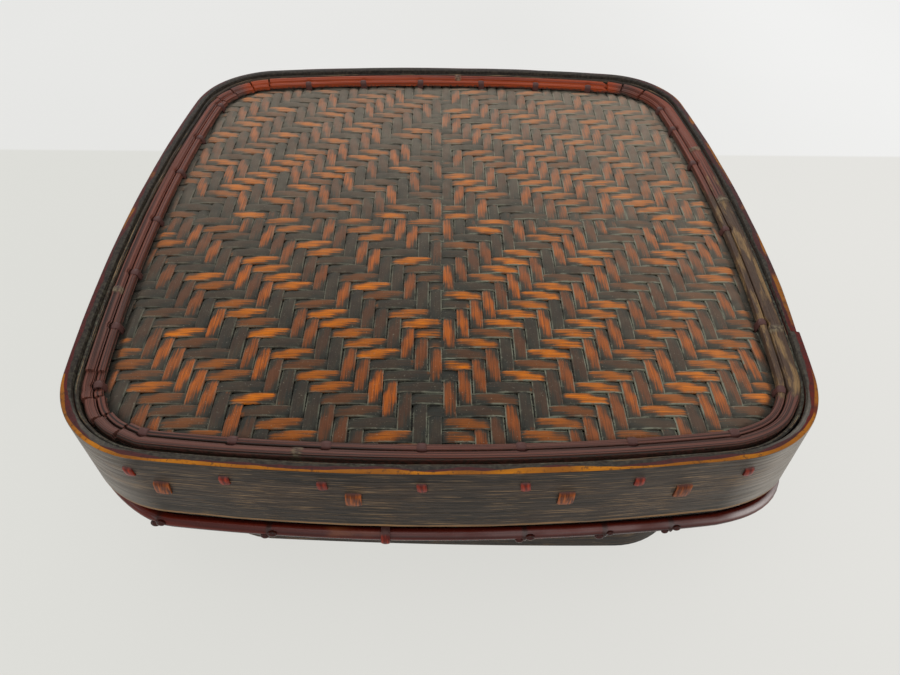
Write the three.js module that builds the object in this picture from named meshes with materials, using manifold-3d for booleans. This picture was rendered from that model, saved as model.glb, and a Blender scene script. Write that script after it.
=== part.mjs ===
// Square lidded basket of split bamboo, woven in twill, with a culm ring round the body.
// Millimetres, +Z up, front towards -Y, origin on the table under the middle of the basket.
// Distances called "out" are measured outwards from the lid band's outer face, so inwards is negative.

import * as THREE from 'three';
import { mergeVertices } from 'three/addons/utils/BufferGeometryUtils.js';
import Module from 'manifold-3d';

const wasm = await Module();
wasm.setup();

// Whole basket
const lid_half_width = 150;
const side_radius = 915;
const corner_radius = 44;
const total_height = 110;
const clearance = 0.3;
const overrun = 2;

// Lid band, one wide strip bent round and scarfed on the right side
const band_height = 36;
const band_thickness = 4;
const band_arris = 0.8;
const lap_step = 1.1;
const lap_length = 27;
const lap_gap = 0.4;
const lap_place_share = -0.55;

// Woven lid panel with its edge turned up inside the band
const weave_thickness = 2;
const panel_recess = 6;
const lip_thickness = 1.5;
const lip_below_rim = 2.4;

// Hoops of split bamboo round the panel's edge: the ties hold a slim one down, and a
// broader half-round one outside it covers the run of the ties
const clamp_hoop_width = 2.9;
const clamp_hoop_side = 0.8;
const clamp_hoop_crown = 1.9;
const cover_hoop_width = 4.2;
const cover_hoop_side = 1.2;
const cover_hoop_crown = 2.9;
const hoop_spacing = 0.4;
const hoop_node_swell = 0.5;
const hoop_node_length = 3.4;
const hoop_node_shares = [[-0.53, 0.08], [-0.07], [0.38], []];

// Skirt hoop, flat strip stapled behind the lower part of the band
const skirt_hoop_height = 11.6;
const skirt_hoop_thickness = 3.2;
const skirt_hoop_below_ties = 0.6;
const skirt_hoop_arris = 0.8;

// Rattan lashings: ties hold the clamp hoop, staples hold the skirt hoop
const strand_thickness = 0.7;
const tie_width = 3.5;
const tie_crown = 4.6;
const tie_below_panel = 0.2;
const tie_shares = [
  [-0.76, -0.5, -0.07, 0.32, 0.56, 0.72],
  [-0.62, -0.4, -0.17, 0.09, 0.33, 0.56],
  [-0.72, -0.47, -0.24, 0.035, 0.295, 0.52, 0.74],
  [-0.735, -0.507, -0.28, -0.05, 0.19, 0.46, 0.725],
];
const staple_width = 5.8;
const staple_crown = 7.6;
const staple_shares = [
  [-0.6, -0.2, 0.23, 0.63],
  [-0.66, -0.28, 0.2, 0.61],
  [-0.58, -0.22, 0.3, 0.65],
  [-0.67, -0.212, 0.294, 0.579],
];

// Body of the basket
const lid_clearance = 0.85;
const wall_band_thickness = 3.5;
const wall_band_below_ring = 8.2;
const wall_band_arris = 0.7;
const mouth_below_rim = 12;
const mouth_hoop_height = 13;
const mouth_hoop_thickness = 4;
const shoulder_rise = 3;

// Culm ring, a thin whole cane bent round the wall band
const ring_radius = 2.65;
const ring_below_band = 9.8;
const ring_node_swell = 0.55;
const ring_node_length = 2.6;
const ring_node_shares = [
  [-0.62, -0.3, 0.02, 0.33, 0.66],
  [-0.6, -0.27, 0.12, 0.38, 0.7],
  [-0.68, -0.35, -0.04, 0.28, 0.6],
  [-0.74, -0.447, 0.213, 0.423, 0.6],
];
const ring_tie_width = 3.4;
const ring_tie_shares = [0.17, -0.1, 0.12, -0.146];

// Foot, nearly straight-sided, which sits a little askew under the lid
const foot_inset = 28.8;
const foot_shift = 3.9;
const foot_turn_degrees = -1.475;
const foot_corner_radius = 38;
const foot_side_radius = 2800;
const foot_height = 16;
const foot_thickness = 4.5;
const foot_arris = 1;
const floor_height = 5;
const heel_radius = 3;
const flare_bulge_share = 0.8;
const batten_width = 14;
const batten_thickness = 3.4;
const batten_spacing = 84;

// Facets
const side_steps = 3;
const corner_steps = 6;
const heel_steps = 2;
const crown_steps = 6;
const tie_steps = 4;
const ring_sides = 8;
const flare_steps = 4;

const QUARTER = Math.PI / 2;

// Levels
const skirt_level = total_height - band_height;
const panel_top = total_height - panel_recess;
const panel_bottom = panel_top - weave_thickness;
const lip_top = total_height - lip_below_rim;
const hoop_bottom = panel_top + clearance;
const tie_top = panel_top - tie_below_panel;
const tie_bottom = tie_top - tie_crown;
const skirt_hoop_top = tie_bottom - skirt_hoop_below_ties;
const skirt_hoop_bottom = skirt_hoop_top - skirt_hoop_height;
const staple_middle = (skirt_hoop_top + skirt_hoop_bottom) / 2;
const wall_band_top = skirt_hoop_bottom - clearance;
const mouth_level = total_height - mouth_below_rim;
const foot_half_width = lid_half_width - foot_inset;
const foot_turn = THREE.MathUtils.degToRad(foot_turn_degrees);
const ring_level = skirt_level - ring_below_band;
const wall_band_bottom = ring_level - wall_band_below_ring;

// Places across the rim, outwards from the lid band's outer face
const lip_out = -band_thickness - clearance;
const cover_hoop_out = lip_out - lip_thickness - clearance;
const clamp_hoop_out = cover_hoop_out - cover_hoop_width - hoop_spacing;
const riser_inner = clamp_hoop_out + clearance;
const riser_outer = riser_inner + strand_thickness;
const drop_outer = clamp_hoop_out - clamp_hoop_width - clearance;
const drop_inner = drop_outer - strand_thickness;
const skirt_hoop_out = -band_thickness - clearance;
const wall_band_out = -band_thickness - lid_clearance;
const wall_out = wall_band_out - wall_band_thickness - clearance;
const wall_in = wall_out - weave_thickness;
const mouth_hoop_out = wall_in - clearance;
const ring_middle = wall_band_out + clearance + ring_radius;

// A rounded square of eight arcs that meet tangent to tangent. Its bowed sides and its
// corners keep their centres when the outline is offset, so offsets stay parallel.
class Plan {
  constructor(half, corner, side) {
    const reach = side - half;
    const span = (side - corner) ** 2;
    this.half = half;
    this.corner = corner;
    this.side = side;
    this.corner_centre = (Math.sqrt(2 * span - reach ** 2) - reach) / 2;
    this.side_angle = Math.atan2(this.corner_centre, this.corner_centre + reach);
  }

  // The point whose outward normal has this angle, moved out along that normal.
  point(angle, out = 0) {
    const quarter = Math.floor(angle / QUARTER + 1e-9);
    const local = angle - quarter * QUARTER;
    let centre = new THREE.Vector2(this.corner_centre, this.corner_centre);
    let radius = this.corner;
    if (local < this.side_angle) {
      centre = new THREE.Vector2(this.half - this.side, 0);
      radius = this.side;
    } else if (local > QUARTER - this.side_angle) {
      centre = new THREE.Vector2(0, this.half - this.side);
      radius = this.side;
    }
    const spot = new THREE.Vector2(Math.cos(local), Math.sin(local));
    spot.multiplyScalar(radius + out).add(centre);
    return spot.rotateAround(new THREE.Vector2(), quarter * QUARTER);
  }

  // The normal's angle at a distance along one side, counted from the side's middle.
  angleAt(side, along) {
    const far = Math.abs(along);
    const onSide = far <= this.side * Math.sin(this.side_angle);
    const turn = onSide
      ? Math.asin(far / this.side)
      : Math.asin((far - this.corner_centre) / this.corner);
    return side * QUARTER + Math.sign(along) * turn;
  }

  // Angles of the stations round the outline, with any extra ones in their order.
  stations(extra = []) {
    const angles = [...extra];
    const corner_angle = QUARTER - 2 * this.side_angle;
    for (let quarter = 0; quarter < 4; quarter += 1) {
      const start = quarter * QUARTER;
      for (let i = 0; i < side_steps; i += 1) {
        angles.push(start + this.side_angle * i / side_steps);
        angles.push(start + QUARTER - this.side_angle * (side_steps - i - 1) / side_steps);
      }
      for (let i = 0; i <= corner_steps; i += 1) {
        angles.push(start + this.side_angle + corner_angle * i / corner_steps);
      }
    }
    const turn = 4 * QUARTER;
    const sorted = angles.map((a) => ((a % turn) + turn) % turn).sort((a, b) => a - b);
    const least = 1e-4;
    return sorted.filter((a, i) => a - (i ? sorted[i - 1] : sorted.at(-1) - turn) > least);
  }
}

const lid_plan = new Plan(lid_half_width, corner_radius, side_radius);

// Closed surface through rows of points. A ring of rows closes on itself; otherwise the
// first and last rows are closed by fans to their middles.
function skin(rows, ring) {
  const count = rows[0].length;
  const points = rows.flat();
  const faces = [];
  const spans = ring ? rows.length : rows.length - 1;
  for (let r = 0; r < spans; r += 1) {
    const low = r * count;
    const high = ((r + 1) % rows.length) * count;
    for (let i = 0; i < count; i += 1) {
      const next = (i + 1) % count;
      faces.push(low + i, low + next, high + next, low + i, high + next, high + i);
    }
  }
  if (!ring) {
    const ends = [[rows[0], 0, true], [rows.at(-1), spans * count, false]];
    for (const [row, first, flip] of ends) {
      const middle = new THREE.Vector3();
      row.forEach((p) => middle.addScaledVector(p, 1 / count));
      points.push(middle);
      const hub = points.length - 1;
      for (let i = 0; i < count; i += 1) {
        const next = (i + 1) % count;
        if (flip) faces.push(hub, first + next, first + i);
        else faces.push(hub, first + i, first + next);
      }
    }
  }
  const geometry = new THREE.BufferGeometry().setFromPoints(points);
  geometry.setIndex(faces);
  return geometry;
}

// Moves a point by a share of the foot's turn and shift.
function askew(spot, lean) {
  spot.rotateAround(new THREE.Vector2(), foot_turn * lean);
  spot.x += foot_shift * lean;
  return spot;
}

// Sweeps a closed section round a plan. The section holds (out, level) points, runs
// anticlockwise with out to the right, and may change from station to station.
function sweep(plan, angles, sectionAt, lean = 0) {
  const rows = angles.map((angle) => sectionAt(angle).map(([out, level]) => {
    const spot = askew(plan.point(angle, out), lean);
    return new THREE.Vector3(spot.x, spot.y, level);
  }));
  const turned = rows[0].map((_, k) => rows.map((row) => row[k]));
  return skin(turned, true);
}

// One row of points round a plan at a level, moved out by a distance.
function contour(plan, level, out = 0, lean = 0) {
  return plan.stations().map((angle) => {
    const spot = askew(plan.point(angle, out), lean);
    return new THREE.Vector3(spot.x, spot.y, level);
  });
}

// Section of a flat strip with eased outer edges.
function stripSection(out, thickness, bottom, top, arris) {
  const inner = out - thickness;
  return [
    [inner, bottom], [out - arris, bottom], [out, bottom + arris],
    [out, top - arris], [out - arris, top], [inner, top],
  ];
}

// How far a station lies inside a swelling, from 0 at its ends to 1 in its middle.
function swelling(plan, angle, places, length) {
  const spot = plan.point(angle);
  const shares = places.map((place) => {
    const middle = plan.point(place);
    return 1 - Math.min(1, spot.distanceTo(middle) / (length / 2));
  });
  return Math.max(0, ...shares);
}

// Angles of all the marks that a table of shares places on the four sides.
function marks(table) {
  return table.flatMap((shares, side) => [shares].flat().map(
    (share) => lid_plan.angleAt(side, share * lid_half_width),
  ));
}

// Stations that let a swelling rise and fall.
function swellStations(places, length, radius) {
  const half = length / 2 / radius;
  return places.flatMap((place) => [place - half, place, place + half]);
}

// Solid geometry, for cutting
function solid(geometry) {
  const bare = geometry.clone();
  bare.deleteAttribute('normal');
  bare.deleteAttribute('uv');
  const merged = mergeVertices(bare);
  return new wasm.Manifold(new wasm.Mesh({
    numProp: 3,
    vertProperties: new Float32Array(merged.attributes.position.array),
    triVerts: new Uint32Array(merged.index.array),
  }));
}

function geometryOf(manifold) {
  const mesh = manifold.getMesh();
  const geometry = new THREE.BufferGeometry();
  geometry.setAttribute('position', new THREE.BufferAttribute(mesh.vertProperties, 3));
  geometry.setIndex(new THREE.BufferAttribute(mesh.triVerts, 1));
  return geometry;
}

function cut(geometry, tools) {
  let body = solid(geometry);
  for (const tool of tools) body = body.subtract(solid(tool));
  return geometryOf(body);
}

// Stands a shape drawn in (out, level) across the rim at a station, with its width along
// the outline.
function across(geometry, angle, width) {
  const spot = lid_plan.point(angle);
  const basis = new THREE.Matrix4().makeBasis(
    new THREE.Vector3(Math.cos(angle), Math.sin(angle), 0),
    new THREE.Vector3(0, 0, 1),
    new THREE.Vector3(Math.sin(angle), -Math.cos(angle), 0),
  );
  basis.setPosition(spot.x, spot.y, 0);
  return geometry.translate(0, 0, -width / 2).applyMatrix4(basis);
}

// A slit across the rim, from one distance out to another and between two levels.
function slit(angle, width, inner, outer, bottom, top) {
  const wide = width + 2 * clearance;
  const box = new THREE.BoxGeometry(outer - inner, top - bottom, wide);
  box.translate((inner + outer) / 2, (bottom + top) / 2, wide / 2);
  return across(box, angle, wide);
}

// The two slits that a strand's legs pass through.
function legSlits(angle, width, inner, outer, middle, crown) {
  const legs = [middle - crown / 2, middle + crown / 2 - strand_thickness];
  return legs.map((leg) => slit(
    angle, width, inner - overrun, outer + overrun,
    leg - clearance, leg + strand_thickness + clearance,
  ));
}

// A flat strand bent into a closed loop: an outer and an inner outline, extruded.
function strand(outer, inner, angle, width) {
  const shape = new THREE.Shape(outer.map(([out, level]) => new THREE.Vector2(out, level)));
  shape.holes.push(new THREE.Path(inner.map(([out, level]) => new THREE.Vector2(out, level))));
  const geometry = new THREE.ExtrudeGeometry(shape, { depth: width, bevelEnabled: false });
  return across(geometry, angle, width);
}

// Half-round sections of the two hoops
const clamp_hoop = {
  out: clamp_hoop_out,
  width: clamp_hoop_width,
  shoulder: hoop_bottom + clamp_hoop_side,
  crown: clamp_hoop_crown,
  steps: tie_steps,
};
const cover_hoop = {
  out: cover_hoop_out,
  width: cover_hoop_width,
  shoulder: hoop_bottom + cover_hoop_side,
  crown: cover_hoop_crown,
  steps: crown_steps,
};

// Arch over a hoop's section, standing off by a distance, from outside to inside.
function hoopArch({ out, width, shoulder, crown, steps }, standoff) {
  return Array.from({ length: steps + 1 }, (_, i) => {
    const turn = Math.PI * i / steps;
    return [
      out - width / 2 + (width / 2 + standoff) * Math.cos(turn),
      shoulder + (crown + standoff) * Math.sin(turn),
    ];
  });
}

// Lid band: upright strip with eased edges, whose outer layer ends in a step on the right.
const lap_angle = lid_plan.angleAt(0, lap_place_share * lid_half_width);
const lap_start = lap_angle + lap_length / side_radius;

function bandSection(angle) {
  const past = (angle - lap_angle + 4 * QUARTER) % (4 * QUARTER);
  const thin = past < lap_length / side_radius ? 1 - past * side_radius / lap_length : 0;
  const out = -lap_step * thin;
  return stripSection(out, band_thickness + out, skirt_level, total_height, band_arris);
}

function lidBand() {
  const gap = lap_gap / side_radius;
  const stations = lid_plan.stations([lap_angle - gap, lap_angle, lap_start]);
  const tie_middle = (tie_top + tie_bottom) / 2;
  const slits = marks(tie_shares).flatMap((angle) => legSlits(
    angle, tie_width, -band_thickness, 0, tie_middle, tie_crown,
  ));
  const staple_slits = marks(staple_shares).flatMap((angle) => legSlits(
    angle, staple_width, -band_thickness, 0, staple_middle, staple_crown,
  ));
  return cut(sweep(lid_plan, stations, bandSection), [...slits, ...staple_slits]);
}

// Lid panel: shallow woven tray. At each tie it has a notch from its turned-up edge to the
// clamp hoop, and a slit on the hoop's inner side.
function lidPanel() {
  const edge = (out, level) => contour(lid_plan, level, out);
  const rows = [
    edge(lip_out - weave_thickness, panel_bottom),
    edge(lip_out, panel_bottom + weave_thickness / 2),
    edge(lip_out, lip_top),
    edge(lip_out - lip_thickness, lip_top),
    edge(lip_out - lip_thickness, panel_top),
  ];
  const low = panel_bottom - overrun;
  const notches = marks(tie_shares).flatMap((angle) => [
    slit(angle, tie_width, clamp_hoop_out, cover_hoop_out, low, panel_top + overrun),
    slit(angle, tie_width, cover_hoop_out - overrun, lip_out + overrun, low, tie_top + clearance),
    slit(angle, tie_width, drop_inner - clearance, drop_outer + clearance,
      low, panel_top + overrun),
  ]);
  return cut(skin(rows, false), notches);
}

// Half-round hoop on the panel, with a ridge at each of the cane's nodes.
function hoopAlong(hoop, nodes) {
  const stations = lid_plan.stations(swellStations(nodes, hoop_node_length, side_radius));
  const bottom = [[hoop.out - hoop.width, hoop_bottom], [hoop.out, hoop_bottom]];
  return sweep(lid_plan, stations, (angle) => {
    const swell = hoop_node_swell * swelling(lid_plan, angle, nodes, hoop_node_length);
    const arch = hoopArch(hoop, 0).map(([out, level]) => [
      out, level + swell * (level - hoop.shoulder) / hoop.crown,
    ]);
    return [...bottom, ...arch];
  });
}

// Cover hoop: its inner flank is eased where each tie rises beside it.
function coverHoop() {
  const eased = marks(tie_shares).map((angle) => slit(
    angle, tie_width, clamp_hoop_out, riser_outer + clearance,
    hoop_bottom - overrun, total_height,
  ));
  return cut(hoopAlong(cover_hoop, marks(hoop_node_shares)), eased);
}

// Skirt hoop: flat strip behind the band that rests on the wall band.
function skirtHoop() {
  const inner = skirt_hoop_out - skirt_hoop_thickness;
  const mirrored = stripSection(
    -inner, skirt_hoop_thickness, skirt_hoop_bottom, skirt_hoop_top, skirt_hoop_arris,
  ).map(([out, level]) => [-out, level]).reverse();
  const hoop = sweep(lid_plan, lid_plan.stations(), () => mirrored);
  const slits = marks(staple_shares).flatMap((angle) => legSlits(
    angle, staple_width, inner, skirt_hoop_out, staple_middle, staple_crown,
  ));
  return cut(hoop, slits);
}

// Tie: out through one slit, up the band's face, in through the other and on under the
// cover hoop, up between the hoops, over the slim one, down through the panel and back.
function hoopTie(angle) {
  const far = clearance + strand_thickness;
  const under = panel_bottom - clearance;
  const low = tie_bottom + strand_thickness;
  const high = tie_top - strand_thickness;
  const outer = [
    [far, tie_bottom], [far, tie_top], [riser_outer, tie_top], ...hoopArch(clamp_hoop, far),
    [drop_inner, under - strand_thickness], [lip_out, tie_bottom],
  ];
  const inner = [
    [clearance, low], [clearance, high], [riser_inner, high],
    ...hoopArch(clamp_hoop, clearance), [drop_outer, under - strand_thickness / 2],
    [lip_out, low],
  ];
  return strand(outer, inner, angle, tie_width);
}

// Staple: a loop of broader strand round a bridge of the band and of the skirt hoop.
function skirtStaple(angle) {
  const inner_face = skirt_hoop_out - skirt_hoop_thickness - clearance;
  const half = staple_crown / 2 - strand_thickness;
  const frame = (grow) => [
    [clearance + grow, staple_middle - half - grow],
    [clearance + grow, staple_middle + half + grow],
    [inner_face - grow, staple_middle + half + grow],
    [inner_face - grow, staple_middle - half - grow],
  ];
  return strand(frame(strand_thickness), frame(0), angle, staple_width);
}

// Woven shell: floor, rounded heel, flaring wall and upright neck in one weave.
const neck_plan = new Plan(
  lid_half_width + wall_out, corner_radius + wall_out, side_radius + wall_out,
);
const heel_half = foot_half_width - foot_thickness - clearance;
const heel_corner = foot_corner_radius - foot_thickness - clearance;
const heel_side = foot_side_radius - foot_thickness - clearance;
const neck_start = wall_band_bottom + shoulder_rise;

function wovenShell() {
  const flare = new THREE.QuadraticBezierCurve(
    new THREE.Vector2(heel_half, foot_height),
    new THREE.Vector2(
      heel_half + (neck_plan.half - heel_half) * flare_bulge_share,
      foot_height + (neck_start - foot_height) / 2,
    ),
    new THREE.Vector2(neck_plan.half, neck_start),
  );
  const rim = new THREE.Vector2(neck_plan.half, mouth_level);
  const heel_turn = Array.from({ length: heel_steps + 1 }, (_, i) => {
    const turn = QUARTER * i / heel_steps;
    return new THREE.Vector2(
      heel_half - heel_radius + heel_radius * Math.sin(turn),
      floor_height + heel_radius - heel_radius * Math.cos(turn),
    );
  });
  const outside = [...heel_turn, ...flare.getPoints(flare_steps), rim];
  const flared = (half) => Math.max(0, (half - heel_half) / (neck_plan.half - heel_half));
  const plans = outside.map(({ x: half }) => {
    const share = flared(half);
    const corner = THREE.MathUtils.lerp(heel_corner, neck_plan.corner, share);
    const side = THREE.MathUtils.lerp(heel_side, neck_plan.side, share);
    const inset = Math.min(0, half - heel_half);
    return new Plan(half, corner + inset, side + inset);
  });
  const outer_rows = outside.map(
    ({ x: half, y: level }, i) => contour(plans[i], level, 0, 1 - flared(half)),
  );
  const inner_rows = outside.map((point, i) => {
    const along = outside[Math.min(i + 1, outside.length - 1)].clone();
    along.sub(outside[Math.max(i - 1, 0)]).normalize();
    if (i === 0) along.set(1, 0);
    if (i === outside.length - 1) along.set(0, 1);
    return contour(
      plans[i], point.y + along.x * weave_thickness, -along.y * weave_thickness,
      1 - flared(point.x),
    );
  });
  const shell = skin([...outer_rows, ...inner_rows.reverse()], false);
  return cut(shell, ringSlits(wall_in, wall_out));
}

// Wall band: broad strip round the neck. The lid's skirt hoop rests on its top.
function wallBand() {
  const section = stripSection(
    wall_band_out, wall_band_thickness, wall_band_bottom, wall_band_top, wall_band_arris,
  );
  const band = sweep(lid_plan, lid_plan.stations(), () => section);
  return cut(band, ringSlits(wall_band_out - wall_band_thickness, wall_band_out));
}

// Mouth hoop: half-round strip that stiffens the weave's edge from within.
function mouthHoop() {
  const inner = mouth_hoop_out - mouth_hoop_thickness;
  const bottom = mouth_level - mouth_hoop_height;
  const middle = (mouth_level + bottom) / 2;
  const quarter = mouth_hoop_height / 4;
  const section = [
    [mouth_hoop_out, bottom], [mouth_hoop_out, mouth_level],
    [inner + mouth_hoop_thickness / 2, mouth_level], [inner, middle + quarter],
    [inner, middle - quarter], [inner + mouth_hoop_thickness / 2, bottom],
  ];
  return sweep(lid_plan, lid_plan.stations(), () => section);
}

// Culm ring: round cane, a little thicker at each node.
function culmRing() {
  const nodes = marks(ring_node_shares);
  const stations = lid_plan.stations(swellStations(nodes, ring_node_length, side_radius));
  return sweep(lid_plan, stations, (angle) => {
    const swell = ring_node_swell * swelling(lid_plan, angle, nodes, ring_node_length);
    return Array.from({ length: ring_sides }, (_, i) => {
      const turn = 4 * QUARTER * (i + 0.5) / ring_sides;
      const outward = Math.max(0, Math.cos(turn));
      const radius = ring_radius + swell * outward;
      return [ring_middle + radius * Math.cos(turn), ring_level + radius * Math.sin(turn)];
    });
  });
}

// Slits for the ring ties through a wall layer.
function ringSlits(inner, outer) {
  const crown = 2 * (ring_radius + clearance + strand_thickness);
  return marks(ring_tie_shares).flatMap((angle) => legSlits(
    angle, ring_tie_width, inner, outer, ring_level, crown,
  ));
}

// Ring tie: strand bent over the cane and through the wall behind it.
function ringTie(angle) {
  const loop = (grow) => {
    const radius = ring_radius + clearance + grow;
    const inner = wall_in - clearance - grow;
    const bend = Array.from({ length: ring_sides / 2 + 1 }, (_, i) => {
      const turn = -QUARTER + 2 * QUARTER * i / (ring_sides / 2);
      return [
        ring_middle + (radius + clearance) * Math.cos(turn),
        ring_level + radius * Math.sin(turn),
      ];
    });
    return [[inner, ring_level - radius], ...bend, [inner, ring_level + radius]];
  };
  return strand(loop(strand_thickness), loop(0), angle, ring_tie_width);
}

// Foot hoop: stout strip that the whole basket stands on.
function footHoop() {
  const plan = new Plan(foot_half_width, foot_corner_radius, foot_side_radius);
  const section = stripSection(0, foot_thickness, 0, foot_height, foot_arris);
  return sweep(plan, plan.stations(), () => section, 1);
}

// Floor batten: slat with a rounded underside, held between the foot hoop's walls.
function floorBatten(place) {
  const far = Math.abs(place) + batten_width / 2;
  const bow = foot_side_radius - Math.sqrt(foot_side_radius ** 2 - far ** 2);
  const half_length = foot_half_width - foot_thickness - bow - clearance;
  const top = floor_height - clearance;
  const shape = new THREE.Shape();
  shape.moveTo(-batten_width / 2, top);
  shape.quadraticCurveTo(0, top - 2 * batten_thickness, batten_width / 2, top);
  const slat = new THREE.ExtrudeGeometry(shape, {
    depth: 2 * half_length, bevelEnabled: false, curveSegments: crown_steps,
  });
  slat.rotateX(QUARTER).rotateZ(QUARTER);
  return slat.translate(-half_length, place, 0).rotateZ(foot_turn).translate(foot_shift, 0, 0);
}

// Finishes
const lacquer_black = { color: 0x3a322c, roughness: 0.55, metalness: 0 };
const weave_brown = { color: 0x6b3f24, roughness: 0.6, metalness: 0 };
const hoop_plum = { color: 0x5a3134, roughness: 0.45, metalness: 0 };
const cane_red = { color: 0x52201a, roughness: 0.25, metalness: 0 };
const rattan_tan = { color: 0x8f4a2a, roughness: 0.45, metalness: 0 };
const plain_bamboo = { color: 0x7a5a38, roughness: 0.7, metalness: 0 };

const basket = new THREE.Group();
const body = new THREE.Group();
const lid = new THREE.Group();
basket.add(body, lid);

function piece(group, name, geometry, finish) {
  const mesh = new THREE.Mesh(geometry, new THREE.MeshStandardMaterial(finish));
  mesh.name = name;
  group.add(mesh);
}

const side_names = ['right', 'back', 'left', 'front'];

function lashings(group, label, table, make) {
  table.forEach((shares, side) => [shares].flat().forEach((share, i) => {
    const angle = lid_plan.angleAt(side, share * lid_half_width);
    piece(group, `${label}_${side_names[side]}_${i + 1}`, make(angle), rattan_tan);
  }));
}

piece(lid, 'lid_band', lidBand(), lacquer_black);
piece(lid, 'lid_panel', lidPanel(), weave_brown);
piece(lid, 'lid_clamp_hoop', hoopAlong(clamp_hoop, []), hoop_plum);
piece(lid, 'lid_cover_hoop', coverHoop(), hoop_plum);
piece(lid, 'lid_skirt_hoop', skirtHoop(), plain_bamboo);
lashings(lid, 'hoop_tie', tie_shares, hoopTie);
lashings(lid, 'skirt_staple', staple_shares, skirtStaple);

piece(body, 'woven_shell', wovenShell(), weave_brown);
piece(body, 'wall_band', wallBand(), lacquer_black);
piece(body, 'mouth_hoop', mouthHoop(), hoop_plum);
piece(body, 'culm_ring', culmRing(), cane_red);
lashings(body, 'ring_tie', ring_tie_shares, ringTie);
piece(body, 'foot_hoop', footHoop(), lacquer_black);
piece(body, 'floor_batten_front', floorBatten(-batten_spacing / 2), plain_bamboo);
piece(body, 'floor_batten_back', floorBatten(batten_spacing / 2), plain_bamboo);

export default basket;
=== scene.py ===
"""Square lidded basket of split bamboo: woven twill panel, bent hoops, rattan lashings, culm ring.

Sizes are in millimetres, +Z up, front towards -Y, origin on the table under the middle of the
basket. Distances called out are measured outwards from the lid band's outer face.
"""

import bisect
import itertools
import logging
import math
import random
from dataclasses import dataclass, field, replace
from enum import Enum
from typing import Callable, ClassVar, Iterable, Sequence

import bmesh
import bpy
from mathutils import Matrix, Vector, noise


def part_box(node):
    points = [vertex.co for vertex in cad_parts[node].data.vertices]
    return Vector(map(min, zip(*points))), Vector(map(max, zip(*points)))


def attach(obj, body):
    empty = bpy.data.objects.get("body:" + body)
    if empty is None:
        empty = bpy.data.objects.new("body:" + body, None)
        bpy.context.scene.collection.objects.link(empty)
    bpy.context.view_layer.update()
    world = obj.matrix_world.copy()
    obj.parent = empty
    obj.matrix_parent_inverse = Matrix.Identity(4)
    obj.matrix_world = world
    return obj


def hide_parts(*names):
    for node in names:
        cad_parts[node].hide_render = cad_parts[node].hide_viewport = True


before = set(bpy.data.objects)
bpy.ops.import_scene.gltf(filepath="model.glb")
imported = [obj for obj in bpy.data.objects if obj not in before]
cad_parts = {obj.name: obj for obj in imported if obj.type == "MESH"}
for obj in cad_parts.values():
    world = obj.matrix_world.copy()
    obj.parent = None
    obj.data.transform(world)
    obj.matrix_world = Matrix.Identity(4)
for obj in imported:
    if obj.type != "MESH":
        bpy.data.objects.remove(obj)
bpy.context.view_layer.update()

logging.basicConfig(level=logging.INFO, format="%(name)s: %(message)s")
log = logging.getLogger("basket")

MM = 0.001
TAU = 2 * math.pi
QUARTER = math.pi / 2
WELD = 1e-4


class Body(Enum):
    """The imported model's bodies."""

    BASKET = "basket"
    LID = "lid"


class Run(Enum):
    """Which way a strip of the weave runs."""

    ACROSS = "across"
    LENGTHWISE = "lengthwise"


class Side(Enum):
    """The four sides, in the order of their outward normals' angles."""

    RIGHT = 0
    BACK = 1
    LEFT = 2
    FRONT = 3


def smooth(share: float) -> float:
    """Returns a share eased at both ends, clamped to 0..1."""
    share = min(1.0, max(0.0, share))
    return share * share * (3 - 2 * share)


def mixed(low: float, high: float, share: float) -> float:
    """Returns the value a share of the way from low to high."""
    return low + (high - low) * share


Span = tuple[float, float, float, float]


def between(value: float, start: float, rise: float, end: float, fall: float) -> float:
    """Returns 1 within a span of values, and 0 outside it.

    Args:
        value: The value.
        start: Where the span starts.
        rise: The span in which it eases from 0 to 1 there.
        end: Where the span ends.
        fall: The span in which it eases from 1 to 0 there.

    Returns:
        The share, from 0 to 1.
    """
    return smooth((value - start) / rise) * smooth((end - value) / fall)


def half_turn(steps: int, start: float = 0.0) -> list[float]:
    """Returns the angles of a half turn in equal steps."""
    return [start + math.pi * k / steps for k in range(steps + 1)]


def ways_along(spots: Sequence[Vector], closed: bool = True) -> list[float]:
    """Returns the way along a line of points to each of them.

    Args:
        spots: The points.
        closed: Whether the line comes back to its first point, and the whole way comes last.

    Returns:
        The ways, from 0.
    """
    ends = [*spots[1:], spots[0]] if closed else spots[1:]
    steps = ((end - start).length for start, end in zip(spots, ends))
    return list(itertools.accumulate(steps, initial=0.0))


@dataclass(frozen=True)
class Waves:
    """Unevenness of hand work: smooth noise of a height and a size, in millimetres."""

    height: float
    size: float
    seed: float

    def at(self, spot: Vector) -> float:
        """Returns the unevenness at a place, flat or not."""
        shift = Vector((self.seed, self.seed * 1.7, self.seed * 2.3))
        return self.height * noise.noise(spot.to_3d() / self.size + shift)


# Materials

Colour = tuple[float, ...]
Socket = bpy.types.NodeSocket
Value = Socket | float | Colour


def tone(red: int, green: int, blue: int) -> Colour:
    """Returns a screen colour as the linear colour that the shader takes."""

    def linear(value: int) -> float:
        """Returns one channel's linear value."""
        share = value / 255
        return share / 12.92 if share <= 0.04045 else ((share + 0.055) / 1.055) ** 2.4

    return (linear(red), linear(green), linear(blue), 1.0)


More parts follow.
